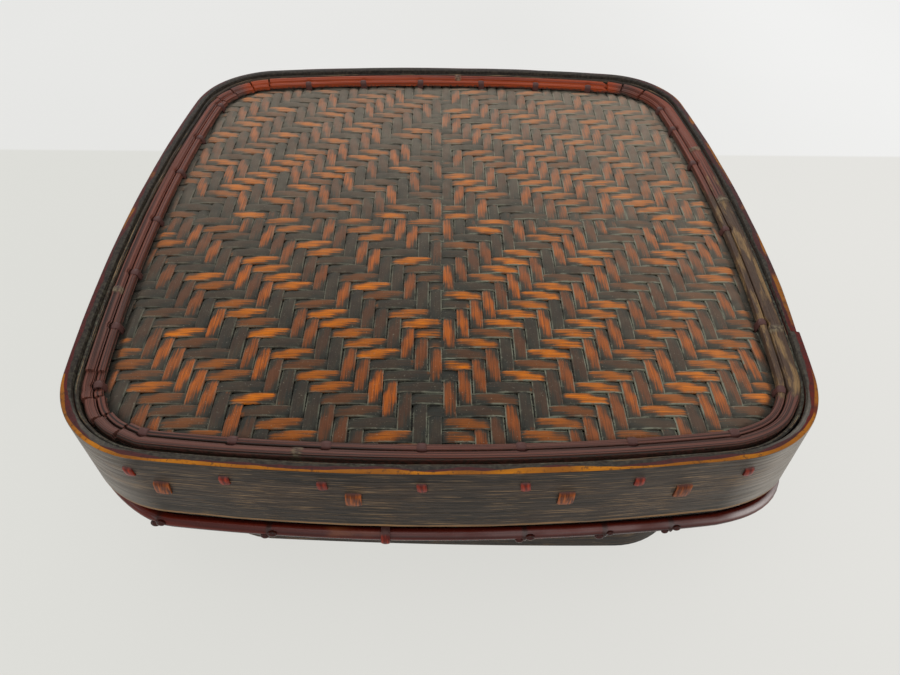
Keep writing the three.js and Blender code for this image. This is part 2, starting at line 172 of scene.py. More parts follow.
class Recipe:
    """Builds one node material step by step, its colour coat over coat."""

    def __init__(self, name: str) -> None:
        """Starts a material with an empty shader.

        Args:
            name: The material's name.
        """
        self.material = bpy.data.materials.new(name)
        self.material.use_nodes = True
        self.tree = self.material.node_tree
        self.tree.nodes.clear()
        self.shader = self.node("ShaderNodeBsdfPrincipled")
        surface = self.shader.outputs["BSDF"]
        self.output = self.node("ShaderNodeOutputMaterial", {"Surface": surface})
        self.colour: Value = tone(0, 0, 0)

    def node(
        self, kind: str, inputs: dict[str | int, Value] | None = None, **settings: object
    ) -> bpy.types.Node:
        """Adds a node.

        Args:
            kind: The node's kind.
            inputs: What its inputs get, by name or number.
            settings: Its settings.

        Returns:
            The node.
        """
        made = self.tree.nodes.new(kind)
        for key, setting in settings.items():
            setattr(made, key, setting)
        for key, value in (inputs or {}).items():
            self.feed(made.inputs[key], value)
        return made

    def feed(self, socket: Socket, value: Value) -> None:
        """Links a socket to another one, or sets its own value."""
        if isinstance(value, Socket):
            self.tree.links.new(value, socket)
        else:
            socket.default_value = value

    def place(self) -> Socket:
        """Returns the object's own coordinates."""
        return self.node("ShaderNodeTexCoord").outputs["Object"]

    def axis(self, name: str) -> Socket:
        """Returns one of the object's own coordinates."""
        return self.node("ShaderNodeSeparateXYZ", {0: self.place()}).outputs[name]

    def mark(self, name: str) -> Socket:
        """Returns one of the mesh's own attributes."""
        return self.node("ShaderNodeAttribute", attribute_name=name).outputs["Fac"]

    def noise(self, vector: Socket, scale: float, detail: float, rough: float) -> Socket:
        """Returns noise from 0 to 1 on a vector."""
        inputs = {"Vector": vector, "Scale": scale, "Detail": detail, "Roughness": rough}
        return self.node("ShaderNodeTexNoise", inputs).outputs["Fac"]

    def grain(self, scale: float, detail: float = 3.0, rough: float = 0.55) -> Socket:
        """Returns noise on the object's own coordinates."""
        return self.noise(self.place(), scale, detail, rough)

    def strands(
        self, along: float, across: float, detail: float = 3.0, rough: float = 0.55
    ) -> Socket:
        """Makes noise drawn out along a strip, on its UV map in metres.

        Args:
            along: How fine the noise is along the strip.
            across: How fine it is across it.
            detail: Its smaller and smaller layers.
            rough: How much they weigh.

        Returns:
            The noise, from 0 to 1.
        """
        lay = self.node("ShaderNodeUVMap", uv_map="lay").outputs["UV"]
        drawn = self.node("ShaderNodeMapping", {"Vector": lay, "Scale": (along, across, 1)})
        return self.noise(drawn.outputs["Vector"], 1.0, detail, rough)

    def reckon(self, kind: str, *values: Value) -> Socket:
        """Reckons from left to right.

        Args:
            kind: The Math operation.
            values: Its values.

        Returns:
            The result.
        """
        result = values[0]
        for value in values[1:]:
            result = self.node("ShaderNodeMath", {0: result, 1: value}, operation=kind).outputs[0]
        return result

    def times(self, *factors: Value) -> Socket:
        """Returns a product."""
        return self.reckon("MULTIPLY", *factors)

    def plus(self, *terms: Value) -> Socket:
        """Returns a sum."""
        return self.reckon("ADD", *terms)

    def ramp(
        self, value: Value, low: float, high: float, start: float = 0.0, end: float = 1.0
    ) -> Socket:
        """Eases a value from one number to another.

        Args:
            value: The value.
            low: Where it starts to change.
            high: Where it stops.
            start: The number up to low.
            end: The number from high on.

        Returns:
            The eased number.
        """
        inputs = {
            "Value": value, "From Min": low, "From Max": high, "To Min": start, "To Max": end
        }
        made = self.node("ShaderNodeMapRange", inputs, interpolation_type="SMOOTHSTEP")
        return made.outputs["Result"]

    def blend(self, share: Value, low: Value, high: Value) -> Socket:
        """Returns a colour mixed from low to high by a share."""
        inputs = {"Factor": share, 6: low, 7: high}
        return self.node("ShaderNodeMix", inputs, data_type="RGBA").outputs[2]

    def layered(self, colour: Value, *coats: tuple[Value, float, float, float, Value]) -> Value:
        """Returns a colour under coats.

        Args:
            colour: The colour underneath.
            coats: For each coat a value, where it starts and ends to cover, its full share and
                its colour.

        Returns:
            The colour on top.
        """
        for value, low, high, full, coat in coats:
            colour = self.blend(self.ramp(value, low, high, 0.0, full), colour, coat)
        return colour

    def coat(self, share: Value, colour: Value) -> None:
        """Lays a colour over the present one, by a share."""
        self.colour = self.blend(share, self.colour, colour)

    def relief(self, height: Value, distance: float) -> None:
        """Gives the shader a bump from a height, in metres at full height."""
        inputs = {"Strength": 1.0, "Distance": distance, "Height": height}
        bump = self.node("ShaderNodeBump", inputs)
        self.feed(self.shader.inputs["Normal"], bump.outputs["Normal"])

    def finish(
        self, rough: Value, specular: float = 0.5, clear: tuple[float, float] = (0.0, 0.03)
    ) -> None:
        """Gives the shader its colour and its gloss.

        Args:
            rough: How rough it is.
            specular: How strongly it reflects.
            clear: The weight and the roughness of a clear coat.
        """
        for key, value in (
            ("Base Color", self.colour), ("Roughness", rough), ("Specular IOR Level", specular),
            ("Coat Weight", clear[0]), ("Coat Roughness", clear[1]),
        ):
            self.feed(self.shader.inputs[key], value)


@dataclass(frozen=True)
class Finish:
    """What a surface looks like, and the record's material slot that it belongs to."""

    name: str
    slot: ClassVar[str]

    def paint(self, recipe: Recipe) -> None:
        """Mixes the looks in a recipe.

        Args:
            recipe: The material.
        """
        raise NotImplementedError

    def material(self) -> bpy.types.Material:
        """Returns the material, made once for all pieces."""
        known = bpy.data.materials.get(self.name)
        if known:
            return known
        recipe = Recipe(self.name)
        self.paint(recipe)
        return recipe.material


@dataclass(frozen=True)
class StripFinish(Finish):
    """Dark stained bamboo strips of the weave, rubbed through on their crowns."""

    slot: ClassVar[str] = "twill_weave"
    dark: Colour = tone(50, 51, 47)
    umber: Colour = tone(76, 54, 38)
    brown: Colour = tone(130, 72, 30)
    amber: Colour = tone(214, 116, 4)
    dust: Colour = tone(118, 120, 104)
    wear: float = 1.0

    def paint(self, recipe: Recipe) -> None:
        """Mixes the stain, its wear by light and height, painted shade in its hollows and beside
        the hoops, its dust, and dust with painted reflection towards the back.

        Args:
            recipe: The material.
        """
        streaks, fibres = recipe.strands(55, 1500, 4.0, 0.65), recipe.strands(90, 3600, 3.0, 0.6)
        speck, patch = recipe.grain(1500.0, 2.0), recipe.grain(150.0)
        rub, edge, gloom = (recipe.mark(name) for name in ("rub", "edge", "gloom"))
        x, y = recipe.axis("X"), recipe.axis("Y")

        level = recipe.plus(
            rub, recipe.times(edge, edge, -0.42), recipe.ramp(streaks, 0.3, 0.7, -0.4, 0.34)
        )
        margin = recipe.times(
            recipe.ramp(y, -0.136, -0.108, 0.3), recipe.ramp(x, -0.138, -0.118, 0.5)
        )
        shade = recipe.plus(
            recipe.mark("shade"), recipe.ramp(x, 0.0, 0.12, 0.0, 0.27),
            recipe.ramp(y, -0.12, 0.06, -0.09, 0.06),
        )
        some = recipe.times(recipe.ramp(shade, 0.04, 0.62, 0.06), self.wear)
        most = recipe.times(recipe.ramp(shade, 0.28, 0.9), self.wear, margin)
        worn = recipe.times(recipe.ramp(level, -0.18, 0.78), some)

        recipe.colour = recipe.layered(
            self.dark, (patch, 0.35, 0.7, 0.6, tone(64, 60, 50)),
            (fibres, 0.45, 0.7, 0.5, tone(36, 36, 33)),
        )
        recipe.coat(worn, self.umber)
        recipe.coat(recipe.times(recipe.ramp(level, 0.12, 0.92), some), self.brown)
        recipe.coat(recipe.times(recipe.ramp(level, 0.25, 1.15), most), self.amber)
        recipe.coat(
            recipe.times(recipe.ramp(fibres, 0.42, 0.66, 0.0, 0.6), worn), tone(74, 42, 24)
        )
        # Painted shade: strips darkened where they dive under their neighbours, and where the weave
        # dips under the hoops.
        hollow = recipe.ramp(rub, -0.8, 0.3, 0.82, 0.0)
        recipe.coat(recipe.reckon("MAXIMUM", gloom, hollow), tone(24, 23, 20))
        powder = recipe.times(
            recipe.ramp(patch, 0.38, 0.66, 0.06, 0.6), recipe.ramp(edge, 0.74, 0.96),
            recipe.ramp(gloom, 0.0, 1.0, 1.0, 0.3), recipe.ramp(x, -0.08, 0.12, 0.8, 2.7),
        )
        recipe.coat(powder, self.dust)
        recipe.coat(recipe.ramp(speck, 0.64, 0.74, 0.0, 0.4), tone(150, 144, 126))
        # Dust with a painted reflection, lighter towards the back and the right.
        recipe.coat(self.dust_and_sheen(recipe, x, y, patch), tone(144, 136, 122))
        recipe.relief(recipe.plus(recipe.times(streaks, 0.8), fibres), 0.0002)
        recipe.finish(recipe.ramp(worn, 0.0, 1.0, 0.62, 0.45), 0.1)

    def dust_and_sheen(self, recipe: Recipe, x: Socket, y: Socket, patch: Socket) -> Socket:
        """Works out the dust, with a painted reflection mixed in: most at the back, some on the
        right.

        Args:
            recipe: The material.
            x: The place across.
            y: The place towards the back.
            patch: The dust's unevenness.

        Returns:
            How much dust and painted reflection lies there.
        """
        back = recipe.ramp(y, -0.12, 0.16, 0.0, 0.46)
        left, right = recipe.ramp(x, -0.14, -0.04, 0.08, 0.0), recipe.ramp(x, 0.0, 0.14, 0.0, 0.15)
        lain = recipe.plus(recipe.reckon("MAXIMUM", back, left), right)
        return recipe.times(lain, recipe.ramp(patch, 0.2, 0.8, 0.75, 1.15))


@dataclass(frozen=True)
class LacquerFinish(Finish):
    """Broad strips of split bamboo under old dark lacquer."""

    slot: ClassVar[str] = "dark_band"
    dust: Colour = tone(92, 92, 76)

    def lacquer(self, recipe: Recipe) -> Socket:
        """Lays the scratched lacquer and its relief.

        Args:
            recipe: The material.

        Returns:
            The lacquer's fine grain.
        """
        fibres, fine = recipe.strands(14, 850, 4.0, 0.75), recipe.strands(26, 2400)
        scrape, patch = recipe.strands(44, 2400, 3.0, 0.65), recipe.strands(14, 60)
        worn = recipe.plus(scrape, recipe.ramp(patch, 0.4, 0.7, 0.0, 0.05))
        recipe.colour = recipe.layered(
            tone(18, 14, 11), (fibres, 0.42, 0.58, 1.0, tone(57, 47, 38)),
            (patch, 0.42, 0.66, 0.35, tone(70, 48, 32)), (fine, 0.5, 0.6, 0.7, tone(24, 21, 18)),
            (worn, 0.6, 0.66, 0.8, tone(150, 120, 84)),
        )
        recipe.relief(recipe.plus(fibres, recipe.times(fine, 0.6)), 0.0004)
        return fine

    def powder(self, recipe: Recipe, cloud: Socket) -> None:
        """Lays clouds of dust where the mesh is marked for it."""
        recipe.coat(recipe.times(recipe.mark("powder"), recipe.ramp(cloud, 0.42, 0.7)), self.dust)

    def paint(self, recipe: Recipe) -> None:
        """Mixes the lacquer and its dust.

        Args:
            recipe: The material.
        """
        fine = self.lacquer(recipe)
        self.powder(recipe, recipe.grain(800.0, 4.0, 0.65))
        recipe.finish(recipe.ramp(fine, 0.2, 0.8, 0.48, 0.64), 0.25)


@dataclass(frozen=True)
class BandFinish(LacquerFinish):
    """The lid band's lacquer, rubbed to gold and plum stripes along its upper edge."""

    dust: Colour = tone(70, 68, 56)
    gold: Colour = tone(176, 108, 12)
    plum: Colour = tone(66, 38, 38)
    red: Colour = tone(88, 22, 16)
    gold_width: float = 1.5
    sway: float = 1.0

    def paint(self, recipe: Recipe) -> None:
        """Mixes the lacquer, the grey on top, a painted highlight on the face near the front
        corners, both stripes and the bare arris.

        Args:
            recipe: The material.
        """
        fine = self.lacquer(recipe)
        fibres = recipe.strands(30, 1400, 3.0, 0.6)
        waves, ripples = recipe.strands(22, 0, 3.0, 0.5), recipe.strands(34, 0, 3.0, 0.5)
        cloud = recipe.grain(650.0, 4.0, 0.65)
        inward = recipe.mark("inward")
        on_top = recipe.ramp(inward, -0.12, 0.05)

        grey = recipe.layered(tone(34, 30, 26), (cloud, 0.35, 0.7, 1.0, tone(60, 52, 44)))
        recipe.coat(recipe.ramp(inward, 0.0, 0.4), grey)
        self.powder(recipe, cloud)
        # Painted highlight: pale lacquer near the front corners, as if lit from the side.
        sheen = recipe.times(recipe.mark("sheen"), recipe.ramp(fibres, 0.3, 0.7, 0.34, 0.86))
        recipe.coat(sheen, tone(174, 166, 156))

        width = recipe.plus(recipe.mark("stripe"), recipe.ramp(ripples, 0.3, 0.7, -1.1, 1.1))
        past = recipe.reckon("SUBTRACT", inward, width)
        ruddy = recipe.blend(recipe.mark("ruddy"), self.plum, self.red)
        recipe.coat(
            recipe.times(recipe.ramp(past, -0.15, 0.15, 1.0, 0.0), on_top),
            recipe.layered(ruddy, (cloud, 0.4, 0.65, 0.55, tone(42, 26, 25))),
        )

        edge = recipe.plus(recipe.ramp(waves, 0.3, 0.7, -self.sway, self.sway), self.gold_width)
        past = recipe.reckon("SUBTRACT", inward, edge)
        gilt = recipe.times(
            recipe.ramp(recipe.plus(recipe.mark("gilt"), ripples), 0.86, 0.96),
            recipe.ramp(past, -0.12, 0.12, 1.0, 0.0), on_top,
        )
        gold = recipe.layered(
            self.gold, (ripples, 0.36, 0.6, 0.7, tone(112, 64, 18)),
            (cloud, 0.53, 0.66, 0.7, tone(80, 50, 24)), (fine, 0.52, 0.72, 0.5, tone(92, 56, 22)),
        )
        recipe.coat(gilt, gold)

        arris = recipe.plus(recipe.mark("arris"), recipe.ramp(ripples, 0.3, 0.7, -0.3, 0.2))
        tan = recipe.layered(tone(96, 70, 46), (fine, 0.3, 0.7, 1.0, tone(158, 122, 80)))
        recipe.coat(recipe.ramp(arris, 0.42, 0.75), tan)
        recipe.finish(recipe.ramp(fine, 0.2, 0.8, 0.36, 0.55), 0.14)


@dataclass(frozen=True)
class HoopFinish(Finish):
    """Half-round split bamboo hoops: plum at the front and left, red behind, bare on the right."""

    slot: ClassVar[str] = "plum_hoop"
    plum: Colour = tone(100, 64, 55)
    deep: Colour = tone(42, 29, 25)
    red: Colour = tone(154, 62, 22)
    brown: Colour = tone(80, 62, 50)
    tan: Colour = tone(136, 108, 72)

    def paint(self, recipe: Recipe) -> None:
        """Mixes the lacquer, plum or red, the bare wood, the nodes' scars, and painted shade with
        dust specks on the low flanks.

        Args:
            recipe: The material.
        """
        fibres, fine = recipe.strands(6, 1250, 2.0, 0.5), recipe.strands(24, 3600)
        patch = recipe.strands(40, 220, 4.0, 0.65)
        speck = recipe.grain(700.0, 2.0)
        redness = recipe.mark("redness")
        recipe.colour = recipe.layered(self.deep, (fibres, 0.4, 0.56, 1.0, self.plum))
        recipe.coat(redness, recipe.layered(tone(92, 34, 24), (fibres, 0.3, 0.6, 1.0, self.red)))
        bare = recipe.plus(recipe.mark("bare"), recipe.ramp(patch, 0.3, 0.7, -0.3, 0.3))
        worn = recipe.layered(
            self.brown, (patch, 0.48, 0.62, 1.0, self.tan), (fine, 0.4, 0.7, 0.6, tone(44, 34, 26))
        )
        recipe.coat(recipe.ramp(bare, 0.42, 0.62), worn)
        recipe.coat(recipe.ramp(fine, 0.58, 0.76, 0.0, 0.6), tone(36, 26, 26))
        scar = recipe.layered(tone(66, 56, 46), (speck, 0.35, 0.65, 1.0, tone(124, 112, 88)))
        recipe.coat(recipe.times(recipe.mark("node"), 0.75), scar)
        # Painted shade with dust specks on the hoop's foot and low flanks.
        powder = recipe.times(recipe.mark("powder"), recipe.ramp(speck, 0.35, 0.65))
        recipe.coat(powder, tone(50, 46, 38))
        recipe.relief(recipe.plus(fibres, recipe.times(fine, 0.4)), 0.0003)
        recipe.finish(recipe.ramp(redness, 0.0, 1.0, 0.42, 0.3), 0.2)


@dataclass(frozen=True)
class CaneFinish(Finish):
    """Whole cane under glossy dark red lacquer."""

    slot: ClassVar[str] = "glossy_cane"
    deep: Colour = tone(48, 12, 8)
    bright: Colour = tone(92, 28, 16)

    def paint(self, recipe: Recipe) -> None:
        """Mixes the lacquer, its rubbed patches, the nodes and a painted highlight near the front
        right corner.

        Args:
            recipe: The material.
        """
        streaks, patch = recipe.strands(12, 420), recipe.strands(24, 70, 3.0, 0.6)
        recipe.colour = recipe.layered(
            self.deep, (streaks, 0.3, 0.75, 1.0, self.bright),
            (patch, 0.6, 0.75, 0.55, tone(132, 74, 40)),
        )
        recipe.coat(recipe.mark("node"), tone(40, 24, 20))
        # Painted highlight along the cane's upper side.
        lit = recipe.times(recipe.mark("shine"), recipe.ramp(patch, 0.25, 0.55), 0.9)
        recipe.coat(lit, tone(188, 176, 174))
        recipe.relief(streaks, 0.0001)
        recipe.finish(recipe.ramp(recipe.grain(300.0), 0.3, 0.75, 0.16, 0.34), 0.15, (0.1, 0.12))


@dataclass(frozen=True)
class RattanFinish(Finish):
    """Glossy peel of rattan under translucent red-brown lacquer."""

    slot: ClassVar[str] = "rattan"
    deep: Colour = tone(74, 18, 12)
    bright: Colour = tone(142, 46, 24)
    hidden: Colour = tone(80, 52, 48)

    def paint(self, recipe: Recipe) -> None:
        """Mixes the strand's own tone, its dull hidden part and its stains.

        Args:
            recipe: The material.
        """
        streaks, patch = recipe.strands(90, 1500), recipe.grain(160.0)
        recipe.colour = recipe.layered(self.deep, (streaks, 0.4, 0.6, 1.0, self.bright))
        recipe.coat(recipe.ramp(recipe.mark("shade"), 0.0, 1.0, 0.55, 0.0), self.deep)
        recipe.colour = recipe.blend(recipe.mark("face"), self.hidden, recipe.colour)
        recipe.coat(recipe.ramp(patch, 0.55, 0.75, 0.0, 0.5), tone(60, 32, 26))
        recipe.relief(streaks, 0.00012)
        recipe.finish(recipe.ramp(patch, 0.3, 0.7, 0.3, 0.45), 0.2)


@dataclass(frozen=True)
class PlainBambooFinish(Finish):
    """Unlacquered bamboo darkened by age."""

    slot: ClassVar[str] = "plain_bamboo"
    pale: Colour = tone(134, 98, 58)
    dark: Colour = tone(86, 58, 34)

    def paint(self, recipe: Recipe) -> None:
        """Mixes the fibres and the stains.

        Args:
            recipe: The material.
        """
        fibres, patch = recipe.strands(18, 1500, 4.0, 0.6), recipe.grain(40.0)
        recipe.colour = recipe.layered(
            self.dark, (fibres, 0.3, 0.7, 1.0, self.pale),
            (patch, 0.45, 0.75, 0.5, tone(70, 50, 36)),
        )
        recipe.relief(fibres, 0.0002)
        recipe.finish(recipe.ramp(fibres, 0.2, 0.8, 0.5, 0.7))


STRIPS = StripFinish("strips_rubbed")
STRIPS_RED = StripFinish("strips_rubbed_red", amber=tone(184, 94, 24), brown=tone(112, 64, 40))
STRIPS_DARK = StripFinish("strips_plain", wear=0.5, amber=tone(124, 78, 46))
LACQUER = LacquerFinish("lacquer_dark")
BAND = BandFinish("lacquer_rubbed")
HOOP = HoopFinish("hoop_plum")
CANE = CaneFinish("cane_glossy")
RATTAN = RattanFinish("rattan_red")
RATTAN_BROAD = RattanFinish("rattan_amber", deep=tone(72, 30, 12), bright=tone(154, 78, 20))
PLAIN = PlainBambooFinish("bamboo_plain")


# Outlines


@dataclass(frozen=True)
class Outline:
    """Rounded square of eight arcs that meet tangent to tangent.

    Its bowed sides and its corners keep their centres when it is offset, so offsets stay
    parallel.
    """

    half: float
    corner: float
    side: float

    @property
    def centre(self) -> float:
        """The corner arcs' centre, as a distance from each axis."""
        reach = self.side - self.half
        span = (self.side - self.corner) ** 2
        return (math.sqrt(2 * span - reach**2) - reach) / 2

    @property
    def side_angle(self) -> float:
        """The angle that half of a side's arc takes."""
        centre = self.centre
        return math.atan2(centre, centre + self.side - self.half)

    def point(self, angle: float, out: float = 0.0) -> Vector:
        """Returns the flat point whose outward normal has an angle.

        Args:
            angle: The normal's angle.
            out: How far the point lies outside the outline, along the normal.

        Returns:
            The point.
        """
        quarter = math.floor(angle / QUARTER + 1e-9)
        local = angle - quarter * QUARTER
        centre = Vector((self.centre, self.centre))
        radius = self.corner
        if local < self.side_angle:
            centre, radius = Vector((self.half - self.side, 0)), self.side
        elif local > QUARTER - self.side_angle:
            centre, radius = Vector((0, self.half - self.side)), self.side
        spot = centre + Vector((math.cos(local), math.sin(local))) * (radius + out)
        spot.rotate(Matrix.Rotation(quarter * QUARTER, 2))
        return spot

    def angle_at(self, side: Side, along: float) -> float:
        """Finds where a place on a side lies on the outline.

        Args:
            side: The side.
            along: The distance from the side's middle, anticlockwise.

        Returns:
            The angle of the outline's normal there.
        """
        far = abs(along)
        if far <= self.side * math.sin(self.side_angle):
            turn = math.asin(far / self.side)
        else:
            turn = math.asin((far - self.centre) / self.corner)
        return side.value * QUARTER + math.copysign(turn, along)

    def out_at(self, x: float, y: float) -> float:
        """Measures from the outline to a flat point.

        Args:
            x: The point's x.
            y: The point's y.

        Returns:
            How far the point lies outside, negative inside.
        """
        x, y = max(abs(x), abs(y)), min(abs(x), abs(y))
        centre = self.centre
        if y > centre and math.atan2(y - centre, x - centre) > self.side_angle:
            return math.hypot(x - centre, y - centre) - self.corner
        return math.hypot(x - self.half + self.side, y) - self.side

    def stations(self, step: float, extra: Iterable[float] = ()) -> list[float]:
        """Divides the outline.

        Args:
            step: The way from one station to the next.
            extra: More angles that get a station.

        Returns:
            The stations' angles, in order.
        """
        angles = [a % TAU for a in extra]
        least = 1e-5
        for quarter in range(4):
            start = quarter * QUARTER
            arcs = (
                (start - self.side_angle, start + self.side_angle, self.side),
                (start + self.side_angle, start + QUARTER - self.side_angle, self.corner),
            )
            for first, last, radius in arcs:
                count = max(1, round((last - first) * radius / step))
                angles += [(first + (last - first) * i / count) % TAU for i in range(count)]
        angles.sort()
        return [a for i, a in enumerate(angles) if a - (angles[i - 1] if i else -1) > least]

    def lengths(self, angles: Sequence[float]) -> list[float]:
        """Returns the way along the outline at each angle, with the whole way last."""
        return ways_along([self.point(a) for a in angles])

    def reach(self, offset: float, out: float) -> float:
        """Returns how far the outline reaches from an axis at a distance to its side.

        Args:
            offset: The distance to the side.
            out: How far outside the outline, along its normal.

        Returns:
            The distance.
        """
        low, high = 0.0, QUARTER
        steps = 40
        for _ in range(steps):
            middle = (low + high) / 2
            if self.point(middle, out).y < abs(offset):
                low = middle
            else:
                high = middle
        return self.point(low, out).x


LID = Outline(150, 44, 915)


# Mesh tools


Points = list[tuple[float, float]]
Place = Callable[[int, int], Vector]
Lay = Callable[[int, int], tuple[float, float]]
Marks = Callable[[int, int], dict[str, float]]


class Mesher:
    """Collects one piece's mesh, in millimetres."""

    def __init__(self, marks: Sequence[str] = ()) -> None:
        """Starts an empty mesh.

        Args:
            marks: The names of the attributes that its points carry.
        """
        self.mesh = bmesh.new()
        self.mesh.loops.layers.uv.new("lay")
        self.marks = {name: self.mesh.verts.layers.float.new(name) for name in marks}

    def sheet(
        self, rows: int, across: int, place: Place, lay: Lay, marks: Marks | None = None,
        closed: tuple[bool, bool] = (False, False), thickness: float = 0.0,
    ) -> None:
        """Bends a grid into a strip, a tube or a ring, and adds it to the piece.

        Args:
            rows: Faces along the strip.
            across: Faces across it, or round its section.
            place: Gives the point of a row and a column.
            lay: Gives the UV of a row and a column, in metres.
            marks: Gives the attributes of a row and a column.
            closed: Whether the rows and the columns come back on themselves.
            thickness: The thickness given to an open sheet, away from its normals.
        """
        part = bmesh.new()
        uv = part.loops.layers.uv.new("lay")
        layers = {name: part.verts.layers.float.new(name) for name in self.marks}
        bmesh.ops.create_grid(part, x_segments=rows, y_segments=across, size=0.5)
        grid = {
            v: (round((v.co.x + 0.5) * rows), round((v.co.y + 0.5) * across)) for v in part.verts
        }
        for face in part.faces:
            face.smooth = True
            for loop in face.loops:
                loop[uv].uv = lay(*grid[loop.vert])
        for vert, (row, column) in grid.items():
            i = row % rows if closed[0] else row
            j = column % across if closed[1] else column
            vert.co = place(i, j)
            if marks:
                for name, value in marks(i, j).items():
                    vert[layers[name]] = value
        if any(closed):
            bmesh.ops.remove_doubles(part, verts=part.verts, dist=WELD)
        if closed[1] and not closed[0]:
            ends = [e for e in part.edges if e.is_boundary]
            made = bmesh.ops.holes_fill(part, edges=ends, sides=0)
            for face in made["faces"]:
                face.smooth = True
        if closed[1]:
            bmesh.ops.recalc_face_normals(part, faces=part.faces)
        if thickness:
            bmesh.ops.solidify(part, geom=part.faces[:], thickness=thickness)
        self.take(part)

    def take(self, part: bmesh.types.BMesh) -> None:
        """Adds another mesh with the same layers to this one."""
        data = mesh_of("part", part)
        self.mesh.from_mesh(data)
        bpy.data.meshes.remove(data)

    def piece(
        self, name: str, finish: Finish, body: Body, *nodes: str, bend: float = 40.0
    ) -> None:
        """Makes the piece that stands for CAD nodes and rides on a body.

        Args:
            name: The piece's name.
            finish: Its finish.
            body: The body that it rides on.
            nodes: The CAD nodes that it stands for.
            bend: Edges sharper than this many degrees stay sharp.
        """
        bmesh.ops.scale(self.mesh, vec=(MM, MM, MM), verts=self.mesh.verts)
        limit = math.radians(bend)
        for edge in self.mesh.edges:
            edge.smooth = edge.calc_face_angle(0.0) < limit
        made = stand(name, mesh_of(name, self.mesh))
        made.data.materials.append(finish.material())
        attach(made, body.value)
        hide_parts(*nodes)
        log.info("%s: %d faces on %s", name, len(made.data.polygons), body.value)


def mesh_of(name: str, mesh: bmesh.types.BMesh) -> bpy.types.Mesh:
    """Returns the data that a finished mesh makes."""
    data = bpy.data.meshes.new(name)
    mesh.to_mesh(data)
    mesh.free()
    return data


def stand(name: str, data: bpy.types.ID) -> bpy.types.Object:
    """Returns a new object in the scene."""
    made = bpy.data.objects.new(name, data)
    bpy.context.scene.collection.objects.link(made)
    return made


def flat_strip(
    outer: float, thickness: float, bottom: float, top: float, within: float, without: float
) -> Points:
    """Returns the section of a flat strip with rounded arrises.

    Args:
        outer: Where its outer face lies.
        thickness: Its thickness.
        bottom: The level of its lower edge.
        top: The level of its upper edge.
        within: How much of the edges the inner arrises' rounding takes.
        without: How much of them the outer arrises' rounding takes.

    Returns:
        The section's points, as (out, level).
    """
    inner = outer - thickness
    corners = [Vector(c) for c in ((inner, bottom), (outer, bottom), (outer, top), (inner, top))]
    points = []
    steps = 3
    for k, radius in enumerate((within, without, without, within)):
        here = corners[k]
        before = (corners[k - 1] - here).normalized() * radius
        after = (corners[(k + 1) % 4] - here).normalized() * radius
        for share in (i / steps for i in range(steps + 1)):
            points.append(tuple(here + before * (1 - share) ** 2 + after * share**2))
    return points


def ring(
    mesher: Mesher,
    outline: Outline,
    angles: Sequence[float],
    section: Callable[[float], Points],
    marks: Callable[[float, int], dict[str, float]] | None = None,
    lean: Callable[[Vector], Vector] | None = None,
) -> None:
    """Sweeps a closed section of (out, level) points round an outline.

    Args:
        mesher: Takes the ring.
        outline: The outline that it follows.
        angles: Its stations.
        section: Gives the section at a station, always with as many points.
        marks: Gives the attributes at a station and a section point.
        lean: Moves each finished point.
    """
    sections = [section(angle) for angle in angles]
    around = len(sections[0])
    ways = outline.lengths(angles)
    girth = ways_along([Vector(p) for p in sections[0]])

    def place(i: int, j: int) -> Vector:
        """Returns a station's section point."""
        out, level = sections[i][j]
        spot = outline.point(angles[i], out).to_3d()
        spot.z = level
        return lean(spot) if lean else spot

    mesher.sheet(
        len(angles), around, place, lambda i, j: (ways[i] * MM, girth[j] * MM),
        (lambda i, j: marks(angles[i], j)) if marks else None, (True, True),
    )


def frame_at(angle: float) -> tuple[Vector, Vector, Vector]:
    """Returns a place on the lid's outline, its outward normal and its tangent."""
    normal = Vector((math.cos(angle), math.sin(angle), 0))
    return LID.point(angle).to_3d(), normal, Vector((-normal.y, normal.x, 0))


def angles_of(table: Sequence[Sequence[float]]) -> list[float]:
    """Returns the angles of a table of places, as shares of the half of each side."""
    return [LID.angle_at(side, share * LID.half) for side, row in zip(Side, table) for share in row]


def side_place(angle: float) -> float:
    """Returns the place round the lid of an angle: 0 on the right, 1 behind, 2 left, 3 in front."""
    return (angle / QUARTER) % 4


STRAND = (
    (-0.5, 0.0), (-0.5, 0.6), (-0.36, 0.86), (-0.18, 0.97), (0.0, 1.0),
    (0.18, 0.97), (0.36, 0.86), (0.5, 0.6), (0.5, 0.0), (0.0, -0.1),
)


def ribbon_loop(
    mesher: Mesher, path: Points, angle: float, width: float, thickness: float, crown: float,
    shade: float, slant: float = 0.0,
) -> None:
    """Bends a flat strand with a crowned face into a closed loop across the rim.

    Args:
        mesher: Takes the strand.
        path: The strand's middle line, as (out, level) points, anticlockwise.
        angle: The station round the outline.
        width: The strand's width.
        thickness: Its thickness at its edges.
        crown: How much thicker it is in its middle.
        shade: Its own tone, from 0 to 1.
        slant: How far the strand's upper side leans along the outline, per millimetre.
    """
    base, normal, tangent = frame_at(angle)
    count = len(path)
    middle = sum(level for _, level in path) / count
    spots = [Vector(p) for p in path]
    ways = ways_along(spots)

    def place(i: int, j: int) -> Vector:
        """Returns a point of the strand's section."""
        along = (spots[(i + 1) % count] - spots[i - 1]).normalized()
        outward = Vector((along.y, -along.x))
        across, lift = STRAND[j]
        spot = spots[i] + outward * (lift * (thickness + crown) - thickness / 2)
        side = across * width + slant * (spot.y - middle)
        return base + normal * spot.x + tangent * side + Vector((0, 0, spot.y))

    mesher.sheet(
        count, len(STRAND), place,
        lambda i, j: (ways[i] * MM, j * width / len(STRAND) * MM),
        lambda i, j: {"shade": shade, "face": 1.0 if spots[i].x > 0 else 0.0},
        (True, True),
    )


# Weaving


STRIP_PRIME = 7919
CELL_PRIME = 104729


